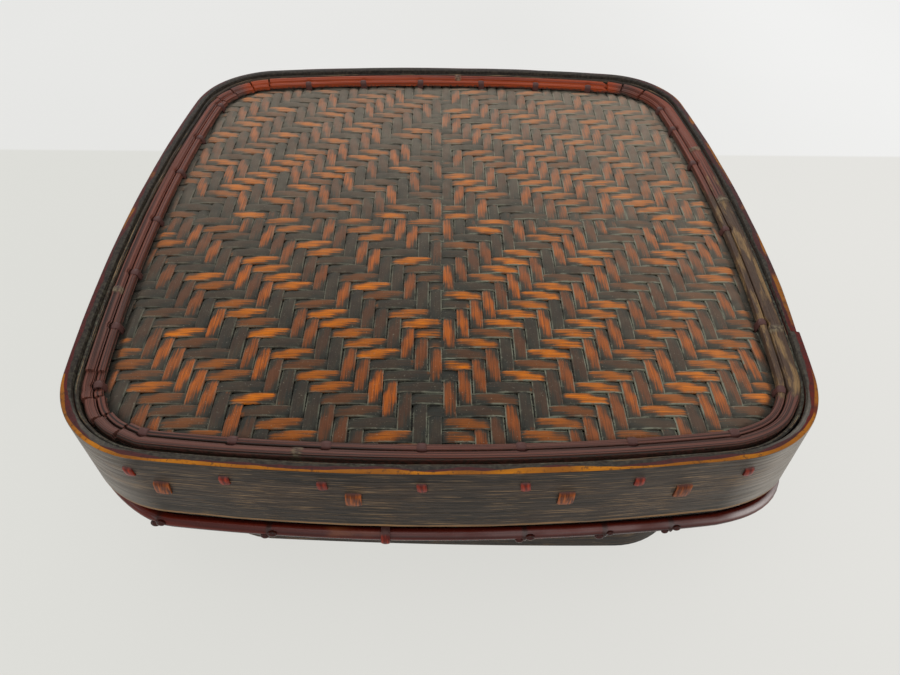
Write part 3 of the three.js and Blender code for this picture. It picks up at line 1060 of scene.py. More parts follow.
@dataclass(frozen=True)
class Weave:
    """How strips of split bamboo lie over and under each other."""

    pitch: float = 5.77
    width_share: float = 0.93
    thickness: float = 0.8
    crown: float = 0.8
    swing: float = 0.68
    tilt: float = 0.4
    turn_share: float = 0.85
    drift: float = 0.05
    drift_size: float = 9.0
    stiffness: float = 0.6
    tone_spread: float = 0.14
    tone_shift: float = -0.04
    narrowest: float = 0.94
    crown_power: float = 2.1
    rub_lean: float = 0.8
    steps: int = 4
    sides: tuple[float, ...] = (-1.0, -0.72, 0.0, 0.72, 1.0)

    def along(self, over: Callable[[int], bool], way: float) -> float:
        """Returns how high a strip runs, from -1 under the others to 1 over them.

        Args:
            over: Tells whether the strip is over at a crossing.
            way: The place along the strip, in crossings.

        Returns:
            The height.
        """
        first = math.floor(way - 0.5)
        share = smooth((way - 1 - first) / self.turn_share + 0.5)
        return mixed(1 if over(first) else -1, 1 if over(first + 1) else -1, share)

    def height(self, over: Callable[[int], bool], way: float) -> float:
        """Returns a strip's height with its long floats arched."""
        beside = self.along(over, way - 1) + self.along(over, way + 1)
        return self.stiffness * self.along(over, way) + (1 - self.stiffness) / 2 * beside

    def strip(
        self, mesher: Mesher, over: Callable[[int, int], bool], row: int, start: float, end: float,
        lay: Callable[[float, float, float], Vector], seed: int, closed: bool = False,
        gloom: Callable[[float, float], float] | None = None,
    ) -> None:
        """Lays one strip.

        Args:
            mesher: Takes the strip.
            over: Tells whether this family of strips is over, by crossing and row.
            row: The strip's row.
            start: Where it starts, in crossings.
            end: Where it ends, in crossings.
            lay: Gives the point at a way along, a way across in rows, and a lift.
            seed: Seeds the strip's own tones.
            closed: Whether the strip comes back on itself.
            gloom: How much painted shade darkens the strip at a way along and a row, where it dips
                under the hoops, from 0 to 1.
        """
        draw = random.Random(seed)
        count = max(2, round((end - start) * self.steps))
        shift = draw.uniform(0, 900)
        own = draw.uniform(-self.tone_spread, self.tone_spread)
        own_width = draw.uniform(self.narrowest, 1.0)
        float_tones = {}

        def float_tone(way: float) -> float:
            """Returns the tone of the float at a way along."""
            cell = math.floor(way)
            while over(cell, row) and over(cell - 1, row):
                cell -= 1
            if cell not in float_tones:
                chance = random.Random(seed * STRIP_PRIME + cell * CELL_PRIME)
                shade = chance.random() + own + self.tone_shift
                float_tones[cell] = min(1.0, max(0.0, shade))
            return float_tones[cell]

        ways = [mixed(start, end, i / count) for i in range(count + 1)]
        middle = [self.height(lambda c: over(c, row), w) for w in ways]
        upper = [self.height(lambda c: over(c, row + 1), w) for w in ways]
        lower = [self.height(lambda c: over(c, row - 1), w) for w in ways]
        tones = [float_tone(w) for w in ways]

        def leaning(i: int, side: float) -> float:
            """Returns how the strip leans to a side."""
            return -side * (upper[i] - lower[i]) / 2

        def place(i: int, j: int) -> Vector:
            """Returns a point of the strip."""
            side = self.sides[j]
            lift = self.swing * middle[i] + self.tilt * leaning(i, side) * self.swing
            lift += self.crown * (1 - abs(side) ** self.crown_power)
            spot = Vector((ways[i] / self.drift_size, row * 3.7, seed * 0.01))
            drift = self.drift * noise.noise(spot)
            across = row + 0.5 + drift + side * self.width_share * own_width / 2
            return lay(ways[i], across, lift)

        def marks(i: int, j: int) -> dict[str, float]:
            """Returns the attributes of a point."""
            side = self.sides[j]
            rub = middle[i] + self.rub_lean * leaning(i, side)
            dark = gloom(ways[i], row + 0.5 + side / 2) if gloom else 0.0
            return {"rub": rub, "shade": tones[i], "edge": abs(side), "gloom": dark}

        length = self.pitch * MM
        mesher.sheet(
            count, len(self.sides) - 1, place,
            lambda i, j: (
                (shift + start + (end - start) * i / count) * length,
                (seed % 97 + self.sides[j] * self.width_share / 2) * length,
            ),
            marks, (closed, False), self.thickness,
        )


STRIP_MARKS = ("rub", "shade", "edge", "gloom")
HOOP_MARKS = ("redness", "bare", "powder", "node")
STRAND_MARKS = ("shade", "face")
CANE_MARKS = ("node", "shine")


@dataclass
class LidPanel:
    """The lid's woven panel: strips both ways in concentric diamonds, and its turned-up lip."""

    weave: Weave = field(default_factory=Weave)
    level: float = 102.95
    rows_each_side: int = 24
    seed: int = 1000
    edge_out: float = -6.6
    ripple: Waves = Waves(0.16, 38, 3)
    dip_out: float = -16.9
    dip_reach: float = 2.4
    dip_depth: float = 1.0
    lip_outer: float = -4.3
    lip_thickness: float = 1.5
    lip_top: float = 107.6
    lip_bottom: float = 102.4
    lip_waves: Waves = Waves(0.3, 11, 7)
    dust_on_lip: float = 0.75
    dust_beside_lip: float = 0.3

    def diamonds(self, column: int, row: int) -> bool:
        """Tells whether the strip that runs across is over at a crossing.

        Args:
            column: The crossing's column, from the middle.
            row: Its row, from the middle.

        Returns:
            Whether it is over.
        """
        i = column + 1 if column >= 0 else -column
        j = row + 1 if row >= 0 else -row
        rising = (column >= 0) == (row < 0)
        return (i + j + (1 if rising else 4)) % 6 < 3

    def strips(self, run: Run) -> None:
        """Lays all the strips that run one way.

        Args:
            run: The way they run.
        """
        mesher = Mesher(STRIP_MARKS)
        pitch = self.weave.pitch
        flip = run is Run.LENGTHWISE

        def over(crossing: int, row: int) -> bool:
            """Tells whether a strip of this run is over."""
            if flip:
                return not self.diamonds(row, crossing)
            return self.diamonds(crossing, row)

        def lay(along: float, across: float, lift: float) -> Vector:
            """Returns a point of a strip."""
            x, y = (across, along) if flip else (along, across)
            spot = Vector((x * pitch, y * pitch, self.level + lift))
            spot.z += self.ripple.at(spot) - self.dip_depth * dip(along, across)
            return spot

        def dip(along: float, across: float) -> float:
            """Returns how near the hoops' hollow a place is."""
            out = LID.out_at(along * pitch, across * pitch)
            return smooth((out - self.dip_out) / self.dip_reach)

        for row in range(-self.rows_each_side, self.rows_each_side):
            reach = LID.reach((row + 0.5) * pitch, self.edge_out) / pitch
            seed = self.seed * (2 if flip else 1) + row
            # The dip under the hoops also sets the strips' painted shade there.
            self.weave.strip(mesher, over, row, -reach, reach, lay, seed, gloom=dip)
        finish = STRIPS_RED if flip else STRIPS
        mesher.piece(f"panel_strips_{run.value}", finish, Body.LID, "lid_panel")

    def lip(self) -> None:
        """Builds the panel's edge where it turns up between the band and the clamp hoop."""
        mesher = Mesher(("powder",))
        outer, inner = self.lip_outer, self.lip_outer - self.lip_thickness

        def section(angle: float) -> Points:
            """Returns the section at a station."""
            top = self.lip_top + self.lip_waves.at(LID.point(angle))
            return [
                (inner, self.lip_bottom), (outer, self.lip_bottom), (outer, top + 0.3),
                (outer - 0.4, top + 0.5), (outer - 0.8, top + 0.3), (inner + 0.3, top - 0.1),
                (inner, top - 0.8),
            ]

        def marks(angle: float, j: int) -> dict[str, float]:
            """Returns the attributes of a section's point."""
            dust = self.dust_on_lip if j in (3, 4) else self.dust_beside_lip
            return {"powder": dust * dusty(angle)}

        ring(mesher, LID, LID.stations(4), section, marks)
        mesher.piece("panel_lip", LACQUER, Body.LID, "lid_panel")

    def build(self) -> None:
        """Builds the panel."""
        self.strips(Run.ACROSS)
        self.strips(Run.LENGTHWISE)
        self.lip()


FRONT_LEFT = 230.0
FRONT_RIGHT = 318.0
HOOP_DRIFT = 1.3
HOOP_DRIFT_SPAN = (2.45, 0.35, 3.55, 0.35)


def near_turn(angle: float, turn: float, reach: float = 34.0) -> float:
    """Returns how near an angle is to a turn in degrees: 1 there, 0 beyond its reach."""
    apart = abs((math.degrees(angle) - turn + 180) % 360 - 180)
    return smooth(1 - apart / reach)


def dusty(angle: float) -> float:
    """Returns how dusty the rim's groove is: full in front, little at the back."""
    return mixed(0.2, 1.0, smooth(0.5 - LID.point(angle).y / 160))


def hoop_drift(angle: float) -> float:
    """Returns how far the hoops lie inwards of their usual place, as they do in front."""
    return HOOP_DRIFT * between(side_place(angle), *HOOP_DRIFT_SPAN)


TIE_SHARES = (
    (-0.76, -0.5, -0.07, 0.32, 0.56, 0.72),
    (-0.62, -0.4, -0.17, 0.09, 0.33, 0.56),
    (-0.72, -0.47, -0.24, 0.035, 0.295, 0.52, 0.74),
    (-0.735, -0.507, -0.28, -0.05, 0.19, 0.46, 0.725),
)


@dataclass(frozen=True)
class HoopShape:
    """Section of a half-round hoop: where it lies and how its face is grooved."""

    out: float
    width: float
    bottom: float
    side: float
    crown: float
    grooves: int
    groove_depth: float
    fall: float
    spread: float = 0.0


@dataclass
class LidRim:
    """The lid's band, the two hoops on its panel and the skirt hoop behind the band."""

    top: float = 110.0
    band_height: float = 36.0
    band_thickness: float = 4.0
    lap_step: float = 1.1
    lap_length: float = 27.0
    lap_share: float = -0.55
    sag: float = 1.2
    splay: float = 1.7
    rim_waves: Waves = Waves(0.18, 30, 1)
    foot_waves: Waves = Waves(0.25, 22, 2)
    arris: float = 0.5
    arris_waves: Waves = Waves(0.2, 14, 5)
    foot_arris: float = 0.7
    foot_arris_waves: Waves = Waves(0.35, 9, 6)
    front_stripes: Span = (2.04, 0.1, 3.8, 0.4)
    left_stripes: Span = (1.5, 0.2, 2.5, 0.3)
    cover: HoopShape = HoopShape(
        out=-6.1, width=4.3, bottom=104.3, side=1.2, crown=2.9, grooves=4, groove_depth=0.24,
        fall=0.3, spread=1.7,
    )
    clamp: HoopShape = HoopShape(
        out=-10.5, width=3.1, bottom=104.3, side=0.8, crown=1.9, grooves=3, groove_depth=0.2,
        fall=0.1,
    )
    spread_right: Span = (0.12, 0.3, 0.9, 0.36)
    red_behind: Span = (0.72, 0.16, 1.52, 0.16)
    hoop_waves: Waves = Waves(0.12, 40, 9)
    groove_waves: Waves = Waves(0.6, 25, 11)
    red_waves: Waves = Waves(0.25, 60, 13)
    node_swell: float = 0.6
    node_length: float = 5.0
    node_shares: tuple = ((-0.53, 0.08, 0.4), (-0.07,), (0.38,), (-0.345,))
    kerf_depth: float = 2.2
    kerf_width: float = 1.5
    kerf_shares: tuple = (
        (), (-0.7, -0.779, -0.875, 0.728, 0.816), (-0.763, -0.848, 0.797, 0.872), (-0.803,)
    )
    saw: float = 0.9
    saw_length: float = 11.0
    break_share: float = 0.686
    break_length: float = 13.0
    break_depth: float = 1.5
    dent_depth: float = 0.7
    dent_length: float = 4.2
    arch_steps: int = 22
    skirt_outer: float = -4.3
    skirt_thickness: float = 3.2
    skirt_bottom: float = 87.0
    skirt_top: float = 98.6

    def band(self) -> None:
        """Builds the broad outer strip with its worn arrises and its lapped end."""
        mesher = Mesher(("inward", "gilt", "stripe", "ruddy", "powder", "arris", "sheen"))
        lap = LID.angle_at(Side.RIGHT, self.lap_share * LID.half)
        gap = 0.5 / LID.side
        angles = LID.stations(2.5, [lap - gap, lap])
        bottom, top, inner = self.top - self.band_height, self.top, -self.band_thickness
        face_start, face_end, top_start = 4, 12, 14
        arris = dict(enumerate((0.6, 0.9, 0.95, 0.95, 0.75), 1))
        powder = dict(enumerate((0.45, 0.85, 0.9), top_start + 1))

        def section(angle: float) -> Points:
            """Returns the section at a station."""
            past = (angle - lap + TAU) % TAU
            thin = max(0.0, 1 - past * LID.side / self.lap_length)
            spot = LID.point(angle)
            out = -self.lap_step * thin
            sag = self.sag * smooth(1.25 - abs(spot.x) / 95) if spot.y < -LID.centre else 0.0
            high = top + self.rim_waves.at(spot) - 0.12
            low = bottom + self.foot_waves.at(spot) + 0.15 - sag
            worn = self.arris + self.arris_waves.at(spot)
            nick = self.foot_arris + self.foot_arris_waves.at(spot)
            edge = [
                (out, high - worn), (out - 0.16 * worn, high - 0.45 * worn),
                (out - 0.6 * worn, high - 0.1 * worn), (out - 1.4 * worn, high),
            ]
            foot = [
                (out - nick, low), (out - 0.4 * nick, low + 0.12 * nick),
                (out - 0.1 * nick, low + 0.5 * nick), (out, low + nick),
            ]
            face = [(out, mixed(low + nick, high - worn, k / 4)) for k in (0.1, 0.16, 1, 2, 3)]
            rim = [(out - 2.0, high), (inner + 0.9, high - 0.1), (inner + 0.25, high - 0.5)]
            return [(inner, low)] + foot + face + edge + rim + [(inner, high - 1.3)]

        def splayed(angle: float) -> Points:
            """Returns the section with its foot splayed outwards."""
            splay = self.splay * near_turn(angle, FRONT_RIGHT)
            return [
                (out + splay * mixed(1.0, 0.3, (level - bottom) / self.band_height), level)
                for out, level in section(angle)
            ]

        def marks(angle: float, j: int) -> dict[str, float]:
            """Returns the attributes of a section's point."""
            points = section(angle)
            inward = points[face_start][0] - points[j][0]
            if j < top_start:
                inward -= points[top_start][1] - points[j][1]
            side = side_place(angle)
            front = between(side, *self.front_stripes)
            right = max(smooth((side - 3.4) / 0.15), smooth((0.8 - side) / 0.3))
            left = between(side, *self.left_stripes)
            lapped = mixed(0.25, 1.0, smooth(0.5 - (LID.point(angle).y + 75) / 16))
            # Painted highlight, strongest near the front corners.
            sheen = 1.5 * near_turn(angle, FRONT_RIGHT, 52.0)
            sheen += 0.75 * near_turn(angle, FRONT_LEFT, 44.0)
            return {
                "inward": inward,
                "gilt": max(front, 0.4 * right, 0.32 * left, 0.2),
                "stripe": 2.3 * front + (1.9 * right + 1.1 * left + 0.9) * (1 - front),
                "ruddy": min(1.0, 0.25 * front + right * lapped + 0.6 * left),
                "powder": powder.get(j, 0.0) * dusty(angle),
                "arris": arris.get(j, 0.0),
                "sheen": min(1.0, sheen) if j < face_end else 0.2 * sheen,
            }

        ring(mesher, LID, angles, splayed, marks)
        mesher.piece("band_strip", BAND, Body.LID, "lid_band")

    def hoop(
        self, name: str, shape: HoopShape, nodes: Sequence[float], kerfs: Sequence[float],
        dents: Sequence[float],
    ) -> None:
        """Builds one grooved half-round hoop on the panel's edge.

        Args:
            name: The piece's name, which is its CAD node's without the lid's prefix.
            shape: The hoop's section.
            nodes: Angles of the cane's nodes.
            kerfs: Angles of the cuts that let it bend.
            dents: Angles where its inner flank is eased for a tie.
        """
        mesher = Mesher(HOOP_MARKS)
        middle = shape.out - shape.width / 2
        shoulder = shape.bottom + shape.side
        extra = []
        for place, reach, radius in (
            [(n, self.node_length, LID.side) for n in nodes]
            + [(k, self.kerf_width, LID.corner) for k in kerfs]
            + [(d, self.dent_length, LID.side) for d in dents]
        ):
            extra += [place + reach / radius * t / 6 for t in (-3, -2, -1, 0, 1, 2, 3)]
        gap = LID.angle_at(Side.LEFT, self.break_share * LID.half)
        extra += [gap - 0.3 / LID.side, gap] + [k + 0.3 / LID.corner for k in kerfs]
        angles = LID.stations(3, extra)

        def near(spot: Vector, places: Sequence[float], length: float) -> float:
            """Returns how near a point is to the nearest of some places."""
            return max([0.0] + [1 - (LID.point(p) - spot).length / (length / 2) for p in places])

        def section(angle: float) -> Points:
            """Returns the section at a station."""
            spot = LID.point(angle)
            swell = self.node_swell * smooth(1.6 * near(spot, nodes, self.node_length))
            cut = self.kerf_depth * min(1.0, 2 * near(spot, kerfs, self.kerf_width))
            dent = self.dent_depth * min(1.0, 2.2 * near(spot, dents, self.dent_length))
            if 0 <= angle - gap and (LID.point(gap) - spot).length < self.break_length:
                cut = max(cut, self.break_depth)
            past = [(spot - LID.point(k)).length for k in kerfs if 0 < angle - k < QUARTER]
            tooth = self.saw * max([0.0] + [1 - far / self.saw_length for far in past])
            drift = hoop_drift(angle) + tooth
            more = shape.spread * between(side_place(angle + QUARTER / 2), *self.spread_right)
            points = [
                (shape.out - shape.width + dent - drift, shape.bottom),
                (shape.out - drift + more, shape.bottom),
            ]
            shift = self.hoop_waves.at(spot) - drift + more / 2
            for k, turn in enumerate(half_turn(self.arch_steps)):
                wave = math.cos(TAU * shape.grooves * (k / self.arch_steps - 0.5) * 1.15)
                depth = shape.groove_depth * (0.5 - 0.5 * wave) ** 3
                waves = replace(self.groove_waves, seed=self.groove_waves.seed + k // 4)
                depth *= 1.0 + waves.at(spot)
                radius = (shape.width + more) / 2 - 0.1 + 0.25 * swell - depth
                if k > self.arch_steps / 2:
                    radius -= dent
                crown = (shape.crown + swell - cut) * abs(math.sin(turn)) ** 0.5
                crown *= 1 - shape.fall * (0.5 - 0.5 * math.cos(turn))
                out = middle + shift + radius * math.cos(turn)
                points.append((out, shoulder + max(0.0, crown - depth)))
            return points

        def marks(angle: float, j: int) -> dict[str, float]:
            """Returns the attributes of a section's point."""
            spot = LID.point(angle)
            side = side_place(angle)
            back = between(side, *self.red_behind)
            right = smooth((side - 3.5) / 0.45) if side > 3 else smooth((0.75 - side) / 0.2)
            rough = right * smooth(0.5 - (spot.y - 22) / 70)
            edge_left = 0.34 * smooth(0.35 + spot.y / 150) if side < 2.6 else 0.0
            edge_left *= smooth((side - 1.5) / 0.15)
            shade = self.red_waves.at(spot)
            # Painted shade with dust, strongest at the hoop's foot and outer flank.
            flank = 9 if 2.4 < side < 3.6 else 5
            low = smooth(1.6 * (1 - j / flank)) + float(j == self.arch_steps + 2)
            red = back + 0.25 * right * (1 - rough) + edge_left + shade
            return {
                "redness": min(1.0, max(0.0, red)),
                "bare": min(1.0, rough),
                "powder": low * 0.8,
                "node": smooth(1.6 * near(spot, nodes, self.node_length)),
            }

        ring(mesher, LID, angles, section, marks)
        mesher.piece(name, HOOP, Body.LID, f"lid_{name}", bend=60)

    def skirt_hoop(self) -> None:
        """Builds the flat strip behind the lower part of the band."""
        mesher = Mesher()
        section = flat_strip(
            self.skirt_outer, self.skirt_thickness, self.skirt_bottom, self.skirt_top, 1.0, 0.3
        )
        ring(mesher, LID, LID.stations(5), lambda angle: section)
        mesher.piece("skirt_hoop", PLAIN, Body.LID, "lid_skirt_hoop")

    def build(self) -> None:
        """Builds the rim."""
        self.band()
        nodes, kerfs = angles_of(self.node_shares), angles_of(self.kerf_shares)
        self.hoop("cover_hoop", self.cover, nodes, kerfs, angles_of(TIE_SHARES))
        self.hoop("clamp_hoop", self.clamp, [], kerfs, [])
        self.skirt_hoop()


@dataclass
class Lashings:
    """Rattan ties over the clamp hoop and staples through the skirt hoop."""

    top: float = 110.0
    strand: float = 0.7
    crown: float = 0.3
    tie_width: float = 3.5
    tie_height: float = 4.6
    tie_below_rim: float = 8.5
    staple_width: float = 5.8
    staple_height: float = 7.6
    staple_below_rim: float = 17.2
    staple_shares: tuple = (
        (-0.6, -0.2, 0.23, 0.63),
        (-0.66, -0.28, 0.2, 0.61),
        (-0.58, -0.22, 0.3, 0.65),
        (-0.67, -0.212, 0.294, 0.579),
    )
    gap: float = 0.05
    bulge: float = 0.15
    hug: float = -0.55
    hoop_middle: float = -12.15
    hoop_half: float = 1.5
    hoop_shoulder: float = 105.1
    hoop_crown: float = 1.9
    under: float = 101.4
    skirt_inner: float = -7.5
    tie_seed: int = 51
    staple_seed: int = 52
    least_shade: float = 0.35
    most_slant: float = 0.12

    def tie_path(self) -> Points:
        """Returns a tie's middle line across the rim."""
        middle = self.top - self.tie_below_rim
        far = self.gap + self.strand / 2
        low = middle - self.tie_height / 2 + self.strand / 2
        high = middle + self.tie_height / 2 - self.strand / 2
        bulge = self.bulge
        front = [
            (far - 0.5, low), (far, low + 0.35), (far + bulge * 0.7, mixed(low, high, 0.3)),
            (far + bulge, middle), (far + bulge * 0.7, mixed(low, high, 0.7)),
            (far, high - 0.35), (far - 0.5, high),
        ]
        near = self.hug + self.strand / 2
        riser = self.hoop_middle + self.hoop_half + near
        inside = [(-2.2, high), (-4.6, high), (riser + 0.6, high), (riser, high + 0.6)]
        arch = [
            (
                self.hoop_middle + (self.hoop_half + near) * math.cos(turn),
                self.hoop_shoulder + (self.hoop_crown + near) * abs(math.sin(turn)) ** 0.6,
            )
            for turn in half_turn(16)
        ]
        back = [
            (self.hoop_middle - self.hoop_half - far, 103.0),
            (self.hoop_middle - self.hoop_half - far + 0.5, self.under),
            (mixed(self.hoop_middle, self.skirt_inner, 0.4), self.under - 0.7),
            (-7.0, self.under - 1.4), (-4.6, low), (-2.2, low),
        ]
        return front + inside + arch + back

    def staple_path(self) -> Points:
        """Returns a staple's middle line."""
        middle = self.top - self.staple_below_rim
        half = self.staple_height / 2 - self.strand / 2
        far = self.gap + self.strand / 2
        inner = self.skirt_inner - far
        bulge = self.bulge
        return [
            (far - 0.6, middle - half), (far, middle - half + 0.4),
            (far + bulge * 0.75, middle - half * 0.5), (far + bulge, middle),
            (far + bulge * 0.75, middle + half * 0.5), (far, middle + half - 0.4),
            (far - 0.6, middle + half), (-2.2, middle + half), (-5.0, middle + half),
            (inner + 0.6, middle + half), (inner, middle + half - 0.4), (inner - 0.2, middle),
            (inner, middle - half + 0.4), (inner + 0.6, middle - half), (-5.0, middle - half),
            (-2.2, middle - half),
        ]

    def lash(
        self, name: str, label: str, table: Sequence[Sequence[float]], width: float,
        path: Points, finish: RattanFinish, seed: int,
    ) -> None:
        """Builds all the strands of one kind.

        Args:
            name: The piece's name.
            label: The CAD nodes' label.
            table: Shares of the four sides where they stand.
            width: The strand's width.
            path: The strand's middle line.
            finish: Its finish.
            seed: Seeds the strands' own tones.
        """
        mesher = Mesher(STRAND_MARKS)
        draw = random.Random(seed)
        for angle in angles_of(table):
            drift = hoop_drift(angle)
            moved = [
                (out - drift * smooth((-6 - out) / 4) * (level > self.under - 1), level)
                for out, level in path
            ]
            ribbon_loop(
                mesher, moved, angle, width, self.strand, self.crown,
                draw.uniform(self.least_shade, 1.0),
                draw.uniform(-self.most_slant, self.most_slant),
            )
        nodes = [
            f"{label}_{side.name.lower()}_{k + 1}"
            for side, row in zip(Side, table) for k in range(len(row))
        ]
        mesher.piece(name, finish, Body.LID, *nodes, bend=60)

    def build(self) -> None:
        """Builds the lashings."""
        self.lash(
            "hoop_lashings", "hoop_tie", TIE_SHARES, self.tie_width, self.tie_path(),
            RATTAN, self.tie_seed,
        )
        self.lash(
            "skirt_lashings", "skirt_staple", self.staple_shares, self.staple_width,
            self.staple_path(), RATTAN_BROAD, self.staple_seed,
        )


@dataclass
class BasketBody:
    """The basket under the lid: woven floor and wall, wall band and mouth hoop."""

    weave: Weave = field(
        default_factory=lambda: Weave(
            width_share=1.0, thickness=0.65, crown=0.22, swing=0.38, steps=2,
            sides=(-1.0, -0.5, 0.5, 1.0),
        )
    )
    foot_half: float = 121.2
    foot_corner: float = 38.0
    foot_side: float = 2800.0
    foot_thickness: float = 4.5
    foot_height: float = 16.0
    foot_shift: float = 3.9
    foot_turn: float = math.radians(-1.475)
    gap: float = 0.3
    heel_radius: float = 3.0
    floor_level: float = 5.0
    floor_pitch: float = 5.6
    floor_inset: float = 2.2
    weave_depth: float = 2.0
    neck_out: float = -8.65
    neck_start: float = 59.0
    mouth_level: float = 98.0
    flare_bulge: float = 0.8
    stakes: int = 186
    wall_rows: int = 18
    floor_seed: int = 3000
    row_seed: int = 5000
    stake_seed: int = 6000
    band_outer: float = -4.85
    band_thickness: float = 3.5
    band_bottom: float = 56.0
    band_top: float = 86.7
    mouth_thickness: float = 4.0
    mouth_height: float = 13.0
    mouth_arris: float = 0.6

    def __post_init__(self) -> None:
        """Works out the wall's profile."""
        self.heel_half = self.foot_half - self.foot_thickness - self.gap
        self.heel_corner = self.foot_corner - self.foot_thickness - self.gap
        self.heel_side = self.foot_side - self.foot_thickness - self.gap
        self.neck_half = LID.half + self.neck_out
        self.profile = self._profile()
        self.ways = ways_along(self.profile, closed=False)
        angles = LID.stations(2)
        self.ring_ways = LID.lengths(angles)
        self.ring_angles = angles + [TAU + angles[0]]
        self.plans: dict[float, tuple] = {}

    def _profile(self) -> list[Vector]:
        """Returns the wall's outer profile as (half width, level) points, from the heel."""
        points = []
        heel_steps, flare_steps = 4, 20
        for turn in (QUARTER * k / heel_steps for k in range(heel_steps + 1)):
            half = self.heel_half - self.heel_radius * (1 - math.sin(turn))
            level = self.floor_level + self.heel_radius * (1 - math.cos(turn))
            points.append(Vector((half, level)))
        start = Vector((self.heel_half, self.foot_height))
        end = Vector((self.neck_half, self.neck_start))
        pull = Vector((mixed(start.x, end.x, self.flare_bulge), mixed(start.y, end.y, 0.5)))
        for share in (k / flare_steps for k in range(flare_steps + 1)):
            points.append(
                start * (1 - share) ** 2 + pull * 2 * share * (1 - share) + end * share**2
            )
        points.append(Vector((self.neck_half, self.mouth_level)))
        return points

    def lean(self, spot: Vector, share: float) -> Vector:
        """Moves a point by a share of the foot's turn and shift.

        Args:
            spot: The point.
            share: The share, from 0 at the rim to 1 at the foot.

        Returns:
            The moved point.
        """
        turned = Matrix.Rotation(self.foot_turn * share, 3, "Z") @ spot
        turned.x += self.foot_shift * share
        return turned

    def plan_at(self, rise: float) -> tuple[Outline, float, Vector, float]:
        """Works out the wall's plan at a way up its profile.

        Args:
            rise: The way up.

        Returns:
            The outline, its level, the outward direction and the share of the lean.
        """
        key = round(rise, 3)
        if key not in self.plans:
            rise = min(max(rise, 0.0), self.ways[-1] - 1e-6)
            k = bisect.bisect_right(self.ways, rise) - 1
            share = (rise - self.ways[k]) / (self.ways[k + 1] - self.ways[k])
            point = self.profile[k].lerp(self.profile[k + 1], share)
            along = (self.profile[k + 1] - self.profile[k]).normalized()
            flared = max(0.0, (point.x - self.heel_half) / (self.neck_half - self.heel_half))
            inset = min(0.0, point.x - self.heel_half)
            corner = mixed(self.heel_corner, LID.corner + self.neck_out, flared) + inset
            side = mixed(self.heel_side, LID.side + self.neck_out, flared) + inset
            plan = Outline(point.x, corner, side)
            self.plans[key] = (plan, point.y, Vector((along.y, -along.x)), 1 - flared)
        return self.plans[key]

    def wall_point(self, share: float, rise: float, lift: float) -> Vector:
        """Returns a point of the wall.

        Args:
            share: The share of the way round.
            rise: The way up the profile.
            lift: How far it stands out of the wall's outer face.

        Returns:
            The point, in millimetres.
        """
        way = (share % 1.0) * self.ring_ways[-1]
        k = min(bisect.bisect_right(self.ring_ways, way), len(self.ring_ways) - 1) - 1
        part = (way - self.ring_ways[k]) / (self.ring_ways[k + 1] - self.ring_ways[k])
        angle = mixed(self.ring_angles[k], self.ring_angles[k + 1], part)
        plan, level, outward, lean = self.plan_at(rise)
        spot = plan.point(angle, lift * outward.x)
        return self.lean(Vector((spot.x, spot.y, level + lift * outward.y)), lean)

    def wall(self) -> None:
        """Weaves the wall: stakes from the heel to the mouth and rows round it."""
        row_pitch = self.ways[-1] / self.wall_rows
        middle = -self.weave_depth / 2

        def rows_over(crossing: int, row: int) -> bool:
            """Tells whether a row is over at a crossing."""
            return (crossing + row) % 6 < 3

        def along_row(along: float, across: float, lift: float) -> Vector:
            """Returns a point of a row."""
            return self.wall_point(along / self.stakes, across * row_pitch, middle + lift)

        def up_stake(along: float, across: float, lift: float) -> Vector:
            """Returns a point of a stake."""
            return self.wall_point(across / self.stakes, along * row_pitch, middle + lift)

        def stakes_over(crossing: int, stake: int) -> bool:
            """Tells whether a stake is over at a crossing."""
            return not rows_over(stake, crossing)

        rows, stakes = Mesher(STRIP_MARKS), Mesher(STRIP_MARKS)
        for k in range(self.wall_rows):
            seed = self.row_seed + k
            self.weave.strip(rows, rows_over, k, 0, self.stakes, along_row, seed, closed=True)
        rows.piece("wall_rows", STRIPS_DARK, Body.BASKET, "woven_shell")
        for k in range(self.stakes):
            seed = self.stake_seed + k
            self.weave.strip(stakes, stakes_over, k, 0, self.wall_rows, up_stake, seed)
        stakes.piece("wall_stakes", STRIPS_DARK, Body.BASKET, "woven_shell")

    def floor(self, run: Run) -> None:
        """Weaves the floor's strips that run one way.

        Args:
            run: The way they run.
        """
        mesher = Mesher(STRIP_MARKS)
        pitch, inset = self.floor_pitch, self.floor_inset
        plan = Outline(self.heel_half - inset, self.heel_corner - inset, self.heel_side - inset)
        count = math.floor(plan.half / pitch)
        flip = run is Run.LENGTHWISE

        def over(crossing: int, row: int) -> bool:
            """Tells whether a strip of this run is over."""
            return ((crossing + row) % 6 < 3) != flip

        def lay(along: float, across: float, lift: float) -> Vector:
            """Returns a point of a strip."""
            x, y = (across, along) if flip else (along, across)
            level = self.floor_level + self.weave_depth / 2
            return self.lean(Vector((x * pitch, y * pitch, level + lift)), 1.0)

        for row in range(-count, count):
            reach = plan.reach((abs(row + 0.5) + 0.45) * pitch, 0) / pitch
            seed = self.floor_seed * (2 if flip else 1) + row
            self.weave.strip(mesher, over, row, -reach, reach, lay, seed)
        mesher.piece(f"floor_strips_{run.value}", STRIPS_DARK, Body.BASKET, "woven_shell")

